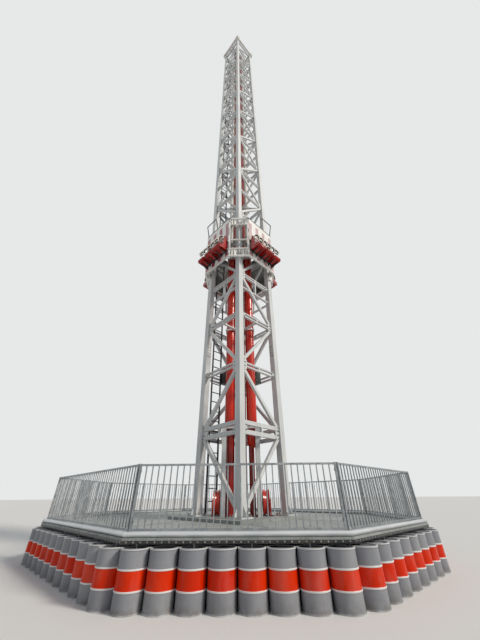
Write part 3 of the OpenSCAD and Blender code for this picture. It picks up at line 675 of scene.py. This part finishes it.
# Sand cast iron, dark and slightly rough, with black grease in patches.
iron, tree, shader = start_finish("cast_iron_with_grease", 0.4, Metallic=0.6)
colour = two_tone(tree, "3b3d3f", "1f1d1b", 0.15, 0.4, 0.7)
bump = relief(tree, "TexNoise", 0.004, 0.3, 0.001, {"Detail": 3})
feed(tree, shader, {"Base Color": colour, "Normal": bump})
coat("head_sheaves", iron)

bolts = bmesh.new()
plates = bmesh.new()
for i in range(4):
    turn = turned(90 * i)
    for side in (-1, 1):
        low = (side * lap_x - 0.11, -head_half - lap_t, head_z + 0.09)
        high = (side * lap_x + 0.11, -head_half, head_top - 0.09)
        block(plates, low, high, 0.003, 1, turn)
        for u in (-0.065, 0.065):
            for z in (0.15, 0.25, 0.35):
                spot = at(side * lap_x + u, -head_half - lap_t, head_z + z)
                stamp(bolts, bolt_24, turn @ spot @ lay)
        for k in range(1, 7):
            spot = at(side * 0.115 * k, -head_half, head_z + 0.02)
            stamp(bolts, bolt_24, turn @ spot @ lay @ Matrix.Scale(0.6, 4))
fit("head_corner_plates", plates, head_paint, "base")
fit("head_bolts", bolts, plated, "base", 40)


# Lift column: steel cylinders and pipes in gloss two-pack paint, bright below and a
# darker red above that is painted shade, pale guide pipes in jacket tubes, and butt welds between their
# lengths.
def gloss_red(name, bright, deep):
    """Sprayed gloss with faint orange peel, dust on it and a soft fade from sun."""
    material, tree, shader = start_finish(
        name, 0.24, Coat_Weight=0.25, Coat_Roughness=0.1, Specular_IOR_Level=0.3,
    )
    colour = two_tone(tree, bright, deep, 0.9, 0.35, 0.65, 3)
    colour = stain(tree, colour, "b9988a", 0.12, 0.05, 0.5, 0.8, 16)
    bump = relief(tree, "TexNoise", 0.012, 0.15, 0.0006, {"Detail": 1})
    feed(tree, shader, {"Base Color": colour, "Normal": bump})
    return material


cylinder_red = gloss_red("gloss_signal_red", "c92608", "b01a04")
# The deep red of these pipes is painted shade.
red_with_painted_shade = gloss_red("gloss_red_painted_shade", "96160c", "7c0f08")
guide_paint = tower_finish("pale_guide_paint", "dcdcd6", "cfcfc9", "96938c")
for name in ("lift_cylinders", "base_sheaves"):
    coat(name, cylinder_red)
for name in ("centre_pipe", "lift_pipes"):
    coat(name, red_with_painted_shade)
coat("guide_pipes", guide_paint)

column_turn = turned(-45)
barrel_top = 9.9
stand_z = 2.925
red_welds = bmesh.new()
pale_welds = bmesh.new()
jackets = bmesh.new()
jacket_r = 0.085
jacket_x = 0.37
jacket_top = 38.9
cylinder_x = 0.335
pipe_x = 0.19
pipe_length = 5.9


def bead(target, x, radius, z, sides):
    """Round weld bead on a pipe that stands at x on the column's line."""
    bm = bmesh.new()
    bmesh.ops.create_cone(
        bm, segments=sides, radius1=radius + 0.0005, radius2=radius + 0.0005, depth=0.01,
    )
    everything = [*bm.verts, *bm.edges, *bm.faces]
    cut = bmesh.ops.bisect_plane(bm, geom=everything, plane_co=(0, 0, 0), plane_no=(0, 0, 1))["geom_cut"]
    waist = [g for g in cut if isinstance(g, bmesh.types.BMVert)]
    wider = 1 + 0.003 / radius
    bmesh.ops.scale(bm, verts=waist, vec=(wider, wider, 1))
    merge(target, bm, column_turn @ at(x, 0, z))


for side in (-1, 1):
    for z in (4.6, 8.1):
        bead(red_welds, side * cylinder_x, 0.155, z, 40)
    for k in range(1, 5):
        z = barrel_top + pipe_length * k
        bead(red_welds, side * pipe_x, 0.09, z - 0.4, 28)
        bead(pale_welds, side * jacket_x, jacket_r, z + 0.9, 32)
    line = column_turn @ at(side * jacket_x, 0, 0)
    disc(jackets, jacket_r, barrel_top + 0.03, jacket_top, 32, 0.004, line)
fit("red_pipe_welds", red_welds, red_with_painted_shade, "base", 60)
fit("guide_pipe_jackets", jackets, guide_paint, "base", 40)
fit("jacket_welds", pale_welds, guide_paint, "base", 60)

# Chassis paint: dark grey, half matt, with small rust brown chips.
dark_paint, tree, shader = start_finish("dark_grey_chassis_paint", 0.5)
colour = two_tone(tree, "2c2e31", "3d3f41", 0.3, 0.35, 0.7, 2)
colour = stain(tree, colour, "5e4a3e", 0.5, 0.03, 0.6, 0.7)
feed(tree, shader, {"Base Color": colour})
coat("pipe_diaphragms", tower_paint)
coat("ladder", dark_paint)
coat("cylinder_stand", tower_paint)


# Cylinder stand and rope wheels: a bolted steel table, with a flange of ten bolts
# where the left cylinder stands on it, and two red wheels in cheek plates below.
bolts = bmesh.new()
flange_r = 0.19
for k in range(10):
    a = math.radians(36 * k + 18)
    spot = at(flange_r * math.cos(a) - cylinder_x, flange_r * math.sin(a), stand_z)
    stamp(bolts, bolt_24, column_turn @ spot)
for x in (-0.48, 0.48):
    for y in (-0.21, 0.21):
        for u, v in ((-0.03, -0.03), (0.03, 0.03)):
            stamp(bolts, bolt_24, column_turn @ at(x + u, y + v, stand_z))
sheave_x = 0.65
hub_r = 0.08
axle_z = plinth_z + 0.29
for side in (-1, 1):
    for face in (-1, 1):
        for k in range(6):
            a = math.radians(60 * k)
            out = turned(90 * face, "Y")
            x = side * sheave_x + face * 0.085
            spot = at(x, hub_r * math.cos(a), axle_z + hub_r * math.sin(a))
            stamp(bolts, bolt_24, column_turn @ spot @ out)
fit("stand_bolts", bolts, plated, "base", 40)


# Supply pipes that come up to the two cylinders from the floor under the table, with a
# bolted flange at each end: welded tube in the red gloss paint that is darkened as painted shade.
supply = bmesh.new()
bolts = bmesh.new()
small_bolt = small_part("hexagon_bolt_12", hexagon_bolt(0.012))
supply_foot = plinth_z - 0.03
supply_head = stand_z - 0.05
supply_x = 0.305
flange_t = 0.02
for side, supply_r in ((-1, 0.118), (1, 0.08)):
    supply_line = column_turn @ at(supply_x * side, 0, 0)
    disc(supply, supply_r, supply_foot, supply_head, 40, 0.002, supply_line)
    for low in (supply_foot, supply_head - flange_t):
        disc(supply, supply_r + 0.03, low, low + flange_t, 40, 0.003, supply_line)
    for k in range(8):
        spot = at(supply_r + 0.015, 0, supply_foot + flange_t)
        stamp(bolts, small_bolt, supply_line @ turned(45 * k) @ spot)
fit("supply_pipes", supply, red_with_painted_shade, "base", 40)
fit("supply_pipe_bolts", bolts, plated, "base", 40)


# Cabinets: folded sheet steel boxes bolted inside the two rear faces, one black and one
# grey green, each with a gasketed door, two hinges, a latch and glands underneath.
cabinet_low = first_level + bay_h - 0.1
cabinet_top = cabinet_low + 0.55
cabinet_back = leg_c - brace_off
cabinet_depth = 0.21
cabinet_w = 0.42
door_t = 0.012

# Baked powder with a fine pebbled skin: flat sheen, dust at the edges.
box_paint, tree, shader = start_finish("textured_powder_coat", 0.55)
north = add(tree, "Math", {0: axes(tree)[1], 1: 0.4}, operation="GREATER_THAN")
colour = add(tree, "MixRGB", {0: north, 1: linear("55615a"), 2: linear("1d1f21")})
colour = stain(tree, colour, "7d7a73", 0.3, 0.08, 0.5, 0.8, 5)
bump = relief(tree, "TexNoise", 0.003, 0.25, 0.0005, {"Detail": 1})
feed(tree, shader, {"Base Color": colour, "Normal": bump})
coat("cabinets", box_paint)
doors = bmesh.new()
handles = bmesh.new()
for i in (1, 2):
    turn = turned(90 * i)
    front = -cabinet_back + cabinet_depth
    block(doors, (-cabinet_w / 2 + door_t, front, cabinet_low + door_t),
          (cabinet_w / 2 - door_t, front + door_t, cabinet_top - door_t), 0.006, 2, turn)
    for x in (-0.1, 0, 0.1):
        gland = turn @ at(x, front - 0.09, 0)
        disc(doors, 0.014, cabinet_low - 0.03, cabinet_low, 10, 0.003, gland)
    middle = (cabinet_low + cabinet_top) / 2
    block(handles, (0.155, front + door_t, middle - 0.045),
          (0.175, front + 0.034, middle + 0.045), 0.006, 2, turn)
    for z in (cabinet_low + 0.08, cabinet_top - 0.08):
        block(handles, (-cabinet_w / 2 - 0.004, front - 0.012, z - 0.025),
              (-cabinet_w / 2 + 0.014, front + 0.018, z + 0.025), 0.003, 1, turn)
fit("cabinet_doors", doors, box_paint, "base", 40)
fit("cabinet_handles", handles, plated, "base", 40)


# Carriage frame: welded square tube rings and corner frames in white enamel, with painted
# shade in dark grey on the upper ring's long sides and dark grey hand rails; polyurethane rollers turn
# on bolted axles.
ring_z = 8.8
carriage_h = 2.25
ring_w = 0.06
roller_bay = 0.33
side_r = 1.28
corner_r = 1.41
panel_half = corner_r * math.sqrt(2) - side_r - 0.02

# Brush enamel like that of the tower, whiter, with the same streaks.
white_enamel = tower_finish("white_carriage_enamel", "e9eae6", "dcdcd7", "908b84")
for name in ("carriage_bottom_ring", "corner_frames"):
    coat(name, white_enamel)
for name in ("hand_rails", "seat_beams"):
    coat(name, dark_paint)

# The upper ring: the same enamel at the cut corners, and dark grey painted shade on the
# four long sides above the panels.
ring, tree, shader = start_finish("ring_enamel_with_painted_shade", 0.4)
place = axes(tree)
east = add(tree, "Math", {0: place[0]}, operation="ABSOLUTE")
north = add(tree, "Math", {0: place[1]}, operation="ABSOLUTE")
painted_shade_band = add(tree, "Math", {0: east, 1: north}, operation="MAXIMUM")
# The long sides are painted dark grey as the shade along the top of the panels.
painted_shade_band = add(tree, "Math", {0: painted_shade_band, 1: side_r - ring_w}, operation="GREATER_THAN")
shade_band_colour = two_tone(tree, "26282b", "38393a", 0.2, 0.4, 0.7)
enamel = two_tone(tree, "e9eae6", "d8d8d3", 0.4, 0.4, 0.7)
feed(tree, shader, {"Base Color": add(tree, "MixRGB", {0: painted_shade_band, 1: enamel, 2: shade_band_colour})})
coat("carriage_top_ring", ring)

# Cast polyurethane, almost black, with brown dust rolled into it.
tyre, tree, shader = start_finish("cast_polyurethane_tyre", 0.5)
colour = two_tone(tree, "232427", "3a3936", 0.05, 0.4, 0.7)
feed(tree, shader, {"Base Color": colour})
coat("guide_rollers", tyre)


def axle_end(bm):
    """Hub cap, washer and nut at one end of a roller's axle."""
    disc(bm, 0.032, 0, 0.006, 20, 0.002)
    disc(bm, 0.023, 0.006, 0.026, 6, 0.002)
    disc(bm, 0.014, 0.026, 0.038, 12, 0.002)


nut = small_part("roller_axle_end", axle_end)
nuts = bmesh.new()
roller_r = 0.07
wheel_c = leg_c + leg_half + fit_gap + roller_r
cheek_out = 0.042
for i in range(4):
    turn = turned(90 * i)
    for z in (ring_z + ring_w + roller_bay / 2, ring_z + carriage_h - ring_w - roller_bay / 2):
        for side in (-1, 1):
            along_y = at(wheel_c, -leg_c + side * cheek_out, z) @ turned(-90 * side, "X")
            along_x = at(leg_c - side * cheek_out, -wheel_c, z) @ turned(-90 * side, "Y")
            stamp(nuts, nut, turn @ along_y)
            stamp(nuts, nut, turn @ along_x)
fit("roller_axle_nuts", nuts, plated, "carriage", 40)


# Back panels: glass fibre sheets screwed to the rings behind the seats, white gelcoat
# with plain upright rose stripes in a deep rose that holds painted shade, paled on the faces along y as
# painted sunlight; dark inside, partly painted shade.
stripe_pitch = 0.4
stripe_top = 10.82

# Moulded gelcoat under a clear shine; the stripes are brushed on and a little ragged.
panel, tree, shader = start_finish("striped_gelcoat", 0.3, Coat_Weight=0.3, Coat_Roughness=0.15)
place = axes(tree)
facing = add(tree, "SeparateXYZ", {0: add(tree, "NewGeometry").outputs["Normal"]}).outputs
on_x_side = add(tree, "Math", {0: facing[0]}, operation="ABSOLUTE")
on_x_side = add(tree, "Math", {0: on_x_side, 1: 0.7}, operation="GREATER_THAN")
along = add(tree, "Mix", {0: on_x_side, 2: place[0], 3: place[1]}, data_type="FLOAT")
wave = add(tree, "Math", {0: place[2], 1: 7.5}, operation="MULTIPLY")
wave = add(tree, "Math", {0: wave}, operation="SINE")
along = add(tree, "Math", {0: wave, 1: 0.008, 2: along}, operation="MULTIPLY_ADD")
ragged = blotch(tree, 0.18, 0.3, 0.7, 2)
along = add(tree, "Math", {0: ragged, 1: 0.03, 2: along}, operation="MULTIPLY_ADD")
bands = add(tree, "Math", {0: along, 1: stripe_pitch}, operation="DIVIDE")
bands = add(tree, "Math", {0: bands}, operation="FRACT")
bands = add(tree, "Math", {0: bands, 1: 0.5}, operation="SUBTRACT")
bands = add(tree, "Math", {0: bands}, operation="ABSOLUTE")
stripe = add(
    tree, "MapRange",
    {"Value": bands, "From Min": 0.21, "From Max": 0.24, "To Min": 1, "To Max": 0},
)
below = add(
    tree, "MapRange",
    {"Value": place[2], "From Min": stripe_top - 0.06, "From Max": stripe_top, "To Min": 1, "To Max": 0},
)
fade = add(
    tree, "MapRange", {"Value": blotch(tree, 0.5, 0.35, 0.65, 2), "To Min": 0.75, "To Max": 1.0},
)
# Paler stripes on the faces along y: painted sunlight; the deep rose below holds painted shade.
painted_sunlight = add(tree, "MapRange", {"Value": on_x_side, "To Min": 0.68, "To Max": 1.0})
share = stripe
for part_left in (below, fade, painted_sunlight):
    share = add(tree, "Math", {0: share, 1: part_left}, operation="MULTIPLY")
colour = add(tree, "MixRGB", {0: share, 1: linear("eeeeea"), 2: linear("96183c")})
colour = stain(tree, colour, "a39a92", 0.25, 0.06, 0.5, 0.8, 12)
# Inner faces darkened: partly painted shade of the carriage's inside, partly a dark bare back.
outward = add(tree, "Math", {0: place[1], 1: facing[1]}, operation="MULTIPLY")
outward = add(tree, "Math", {0: place[0], 1: facing[0], 2: outward}, operation="MULTIPLY_ADD")
inside = add(tree, "Math", {0: outward, 1: 0}, operation="LESS_THAN")
colour = add(tree, "MixRGB", {0: inside, 1: colour, 2: linear("45413d")})
feed(tree, shader, {"Base Color": colour})
coat("back_panels", panel)
bolts = bmesh.new()
panel_screw = small_part("panel_screw", dome_bolt(0.01))
for i in range(4):
    turn = turned(90 * i)
    for k in range(-3, 4):
        for z in (ring_z + ring_w + 0.03, ring_z + carriage_h - ring_w - 0.03):
            stamp(bolts, panel_screw, turn @ at(k * 0.22, -side_r, z) @ lay)
    for z in (9.2, 9.55, 9.9, 10.25, 10.6):
        for side in (-1, 1):
            stamp(bolts, panel_screw, turn @ at(side * (panel_half - 0.025), -side_r, z) @ lay)
fit("panel_screws", bolts, plated, "carriage", 40)


# Seats: twelve glass fibre buckets, red gelcoat with soft moulded edges, each bolted to
# two beams. A vinyl covered foam cushion lies on the pan and another on the back.
seat_z = 9.2
seat_pitch = 0.46

# Moulded gelcoat: deep gloss, with pale scuffs and a trace of the glass weave under it.
gelcoat, tree, shader = start_finish(
    "red_gelcoat", 0.28, Coat_Weight=0.2, Coat_Roughness=0.1, Specular_IOR_Level=0.35,
)
colour = two_tone(tree, "ab170a", "930f06", 0.35, 0.35, 0.65)
colour = stain(tree, colour, "c9705f", 0.3, 0.025, 0.6, 0.75)
bump = relief(tree, "TexNoise", 0.03, 0.1, 0.002, {"Detail": 1})
feed(tree, shader, {"Base Color": colour, "Normal": bump})
shell_edge = 0.011
for i in range(1, 5):
    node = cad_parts[f"seats_{i}"]
    shells = bmesh.new()
    shells.from_mesh(node.data)
    bmesh.ops.remove_doubles(shells, verts=shells.verts, dist=0.0002)
    bmesh.ops.dissolve_limit(shells, angle_limit=math.radians(2), verts=shells.verts, edges=shells.edges)
    sharp = [e for e in shells.edges if e.is_manifold and e.calc_face_angle() > math.radians(35)
             and e.calc_length() > 0.03]
    bmesh.ops.bevel(shells, geom=sharp, offset=shell_edge, segments=3, affect="EDGES", profile=0.5,
                    material=-1, clamp_overlap=True)
    seats = fit(f"seat_shells_{i}", shells, gelcoat, "carriage", 50)
    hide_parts(f"seats_{i}")


# Harnesses: bent steel tube in cream powder coat that turns on a hinge tube behind the
# head, with moulded black foam over the shoulders and chest, and two grab handles.
pivot = (0.13, 0.61)
arm_line = [pivot, (0.235, 0.668), (0.352, 0.57), (0.403, 0.437), (0.403, 0.24)]
tube_r = 0.02
half_gap = 0.115
half_pin = 0.181
pin_tube_r = 0.025

# Powder coat over steel tube: an even half gloss, worn to grey metal where hands go.
cream, tree, shader = start_finish("cream_powder_coat", 0.4)
colour = two_tone(tree, "e8e4d6", "d8d2c0", 0.25, 0.35, 0.7)
colour = stain(tree, colour, "77736c", 0.7, 0.02, 0.66, 0.7)
feed(tree, shader, {"Base Color": colour})

# Foam moulded with its own skin: soft black, matt, with a leather grain of 4 mm.
foam, tree, shader = start_finish("integral_skin_foam", 0.6, Sheen_Weight=0.15)
colour = two_tone(tree, "1f2022", "2e2e2f", 0.08, 0.4, 0.7)
bump = relief(tree, "TexVoronoi", 0.004, 0.3, 0.0006)
feed(tree, shader, {"Base Color": colour, "Normal": bump})


def tube(points, radius, bend, sides):
    """Mesh of a round tube along straight runs whose corners are bent to a radius."""
    path = []
    for k, point in enumerate(points):
        point = Vector(point)
        if 0 < k < len(points) - 1:
            before, after = Vector(points[k - 1]) - point, Vector(points[k + 1]) - point
            cut = min(bend, before.length * 0.45, after.length * 0.45)
            a, b = point + before.normalized() * cut, point + after.normalized() * cut
            path += [a.lerp(point, t).lerp(point.lerp(b, t), t) for t in (0, 0.2, 0.4, 0.6, 0.8, 1)]
        else:
            path.append(point)
    curve = bpy.data.curves.new("tube_line", "CURVE")
    curve.dimensions = "3D"
    curve.bevel_depth = radius
    curve.bevel_resolution = sides // 4 - 1
    curve.use_fill_caps = True
    line = curve.splines.new("POLY")
    line.points.add(len(path) - 1)
    for spot, place in zip(line.points, path):
        spot.co = (*place, 1)
    holder = bpy.data.objects.new("tube_line", curve)
    bpy.context.scene.collection.objects.link(holder)
    mesh = bpy.data.meshes.new_from_object(holder.evaluated_get(bpy.context.evaluated_depsgraph_get()))
    bpy.data.objects.remove(holder)
    bpy.data.curves.remove(curve)
    return mesh


def in_seat(x, u, w):
    """Point of the middle south seat: x along the side, u out from the panel, w above the seat."""
    return (x, -side_r - u, seat_z + w)


def join_rings(bm, rings):
    """Skin a row of rings and close both ends."""
    for a, b in zip(rings, rings[1:]):
        bmesh.ops.bridge_loops(bm, edges=a + b)
    for ring in (rings[0], rings[-1]):
        bmesh.ops.contextual_create(bm, geom=ring)


def sleeve(bm, line, width, depth, x):
    """Foam sleeve along an arm: rounded rings bridged to each other, closed at both ends."""
    rings = []
    for k, (u, w, grow) in enumerate(line):
        before = line[max(k - 1, 0)]
        after = line[min(k + 1, len(line) - 1)]
        lean = math.atan2(after[1] - before[1], after[0] - before[0])
        place = at(*in_seat(x, u, w)) @ turned(90 - math.degrees(lean), "X")
        made = bmesh.ops.create_circle(
            bm, segments=12, radius=0.5,
            matrix=place @ Matrix.Diagonal((width * grow, depth * grow, 1, 1)),
        )
        rings.append(list({e for v in made["verts"] for e in v.link_edges}))
    join_rings(bm, rings)


def harness_tube(bm):
    """The bent loop, its hinge tube, lap bar end plates and grab handles."""
    down = [in_seat(-half_gap, u, w) for u, w in arm_line]
    up = [in_seat(half_gap, u, w) for u, w in reversed(arm_line)]
    loop = tube(down + up, tube_r, 0.07, 12)
    bm.from_mesh(loop)
    bpy.data.meshes.remove(loop)
    hinge = tube([in_seat(-half_pin, *pivot), in_seat(half_pin, *pivot)], pin_tube_r, 0, 16)
    bm.from_mesh(hinge)
    bpy.data.meshes.remove(hinge)
    for side in (-1, 1):
        x = side * half_gap
        bow = ((0.405, 0.43), (0.455, 0.42), (0.455, 0.32), (0.405, 0.31))
        grip = tube([in_seat(x, u, w) for u, w in bow], 0.01, 0.025, 8)
        bm.from_mesh(grip)
        bpy.data.meshes.remove(grip)


def harness_foam(bm):
    """Foam on the rider's side of both arms, from the shoulder down, and a roll on the bar."""
    line = [
        (0.222, 0.632, 0.55), (0.24, 0.618, 0.9), (0.29, 0.582, 1), (0.324, 0.55, 1),
        (0.352, 0.49, 1), (0.37, 0.431, 1.02), (0.371, 0.37, 1), (0.371, 0.315, 0.9),
        (0.371, 0.295, 0.55),
    ]
    for side in (-1, 1):
        sleeve(bm, line, 0.084, 0.056, side * half_gap)
    roll = [(-0.082, 0.6), (-0.074, 1), (-0.03, 1.03), (0.03, 1.03), (0.074, 1), (0.082, 0.6)]
    rings = []
    for x, grow in roll:
        place = at(*in_seat(x, 0.392, 0.24)) @ turned(90, "Y")
        made = bmesh.ops.create_circle(bm, segments=12, radius=0.027 * grow, matrix=place)
        rings.append(list({e for v in made["verts"] for e in v.link_edges}))
    join_rings(bm, rings)


tube_part = small_part("harness_tube", harness_tube)
foam_part = small_part("harness_foam", harness_foam)
for i in range(4):
    for k in range(3):
        turn = turned(90 * i) @ at((k - 1) * seat_pitch, 0, 0)
        body = f"harness_{i + 1}_{k + 1}"
        arms = bmesh.new()
        stamp(arms, tube_part, turn)
        arms = fit(f"harness_tube_{i + 1}_{k + 1}", arms, cream, body, 50)
        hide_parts(body)
        pads = bmesh.new()
        stamp(pads, foam_part, turn)
        pads = fit(f"harness_pads_{i + 1}_{k + 1}", pads, foam, body, 180)
        softer = pads.modifiers.new("moulded_form", "SUBSURF")
        softer.levels = softer.render_levels = 1


# Cushions: foam in black vinyl on the pan, the back and behind the head. The cover is
# drawn over the foam, so it swells from a flat back and pulls in between its corners.
def swell(mesh, cap):
    """Blow the cover up as cloth from its pinned flat back, no point moving past the cap."""
    pad = bpy.data.objects.new("pad", mesh)
    bpy.context.scene.collection.objects.link(pad)
    remesh = pad.modifiers.new("even_mesh", "REMESH")
    remesh.mode = "VOXEL"
    remesh.voxel_size = 0.009
    even = bpy.data.meshes.new_from_object(pad.evaluated_get(bpy.context.evaluated_depsgraph_get()))
    pad.modifiers.clear()
    pad.data = even
    still = [v.co.copy() for v in even.vertices]
    held = pad.vertex_groups.new(name="held")
    held.add([v.index for v in even.vertices if v.co.z < 0.008], 1, "ADD")
    cloth = pad.modifiers.new("cover", "CLOTH")
    cloth.settings.vertex_group_mass = "held"
    cloth.settings.use_pressure = True
    cloth.settings.uniform_pressure_force = 4
    cloth.settings.effector_weights.gravity = 0
    scene = bpy.context.scene
    for frame_number in range(1, 21):
        scene.frame_set(frame_number)
    blown = bpy.data.meshes.new_from_object(pad.evaluated_get(bpy.context.evaluated_depsgraph_get()))
    scene.frame_set(1)
    for v, start in zip(blown.vertices, still):
        moved = v.co - start
        if moved.length > cap:
            v.co = start + moved.normalized() * cap
    bpy.data.objects.remove(pad)
    return blown


def cushion(name, width, length, thick, channels):
    """Pad that lies on z = 0, with sewn channels across it at some places of its length."""
    bm = bmesh.new()
    block(bm, (-width / 2, -length / 2, 0), (width / 2, length / 2, thick))
    bmesh.ops.subdivide_edges(bm, edges=bm.edges, cuts=9, use_grid_fill=True)
    for v in bm.verts:
        x, y = abs(2 * v.co.x / width), abs(2 * v.co.y / length)
        v.co.z *= 1 - 0.4 * max(x, y) ** 6 - 0.15 * min(x, y) ** 4
        v.co.x *= 1 - 0.04 * (1 - y * y)
        v.co.y *= 1 - 0.03 * (1 - x * x)
    flat = bpy.data.meshes.new(name)
    bm.to_mesh(flat)
    bm.free()
    flat = swell(flat, 0.007)
    for v in flat.vertices:
        for place in channels:
            near = 1 - abs(v.co.y - place) / 0.014
            if near > 0 and v.co.z > thick * 0.4:
                v.co.z -= 0.008 * near
    return flat


# Calendered vinyl on cloth: black, a low shine and an embossed leather grain of 5 mm.
vinyl, tree, shader = start_finish("embossed_black_vinyl", 0.45, Coat_Weight=0.15, Coat_Roughness=0.3)
colour = two_tone(tree, "232325", "343335", 0.1, 0.4, 0.7)
bump = relief(tree, "TexVoronoi", 0.005, 0.35, 0.0007, feature="DISTANCE_TO_EDGE")
feed(tree, shader, {"Base Color": colour, "Normal": bump})
upright = turned(90, "X")
pads = [
    (name, cushion(name, *sizes), place)
    for name, place, *sizes in (
        ("pan_cushion", at(*in_seat(0, 0.312, 0)), 0.285, 0.245, 0.05, (-0.04, 0.045)),
        ("back_cushion", at(*in_seat(0, 0.118, 0.315)) @ upright, 0.285, 0.37, 0.036, (-0.07, 0.06)),
        ("head_cushion", at(*in_seat(0, 0.002, 0.735)) @ upright, 0.135, 0.25, 0.07, (0,)),
    )
]
for i in range(4):
    for k in range(3):
        turn = turned(90 * i) @ at((k - 1) * seat_pitch, 0, 0)
        for name, part, place in pads:
            pad = bmesh.new()
            stamp(pad, part, turn @ place)
            pad = fit(f"{name}_{i + 1}_{k + 1}", pad, vinyl, "carriage", 180)
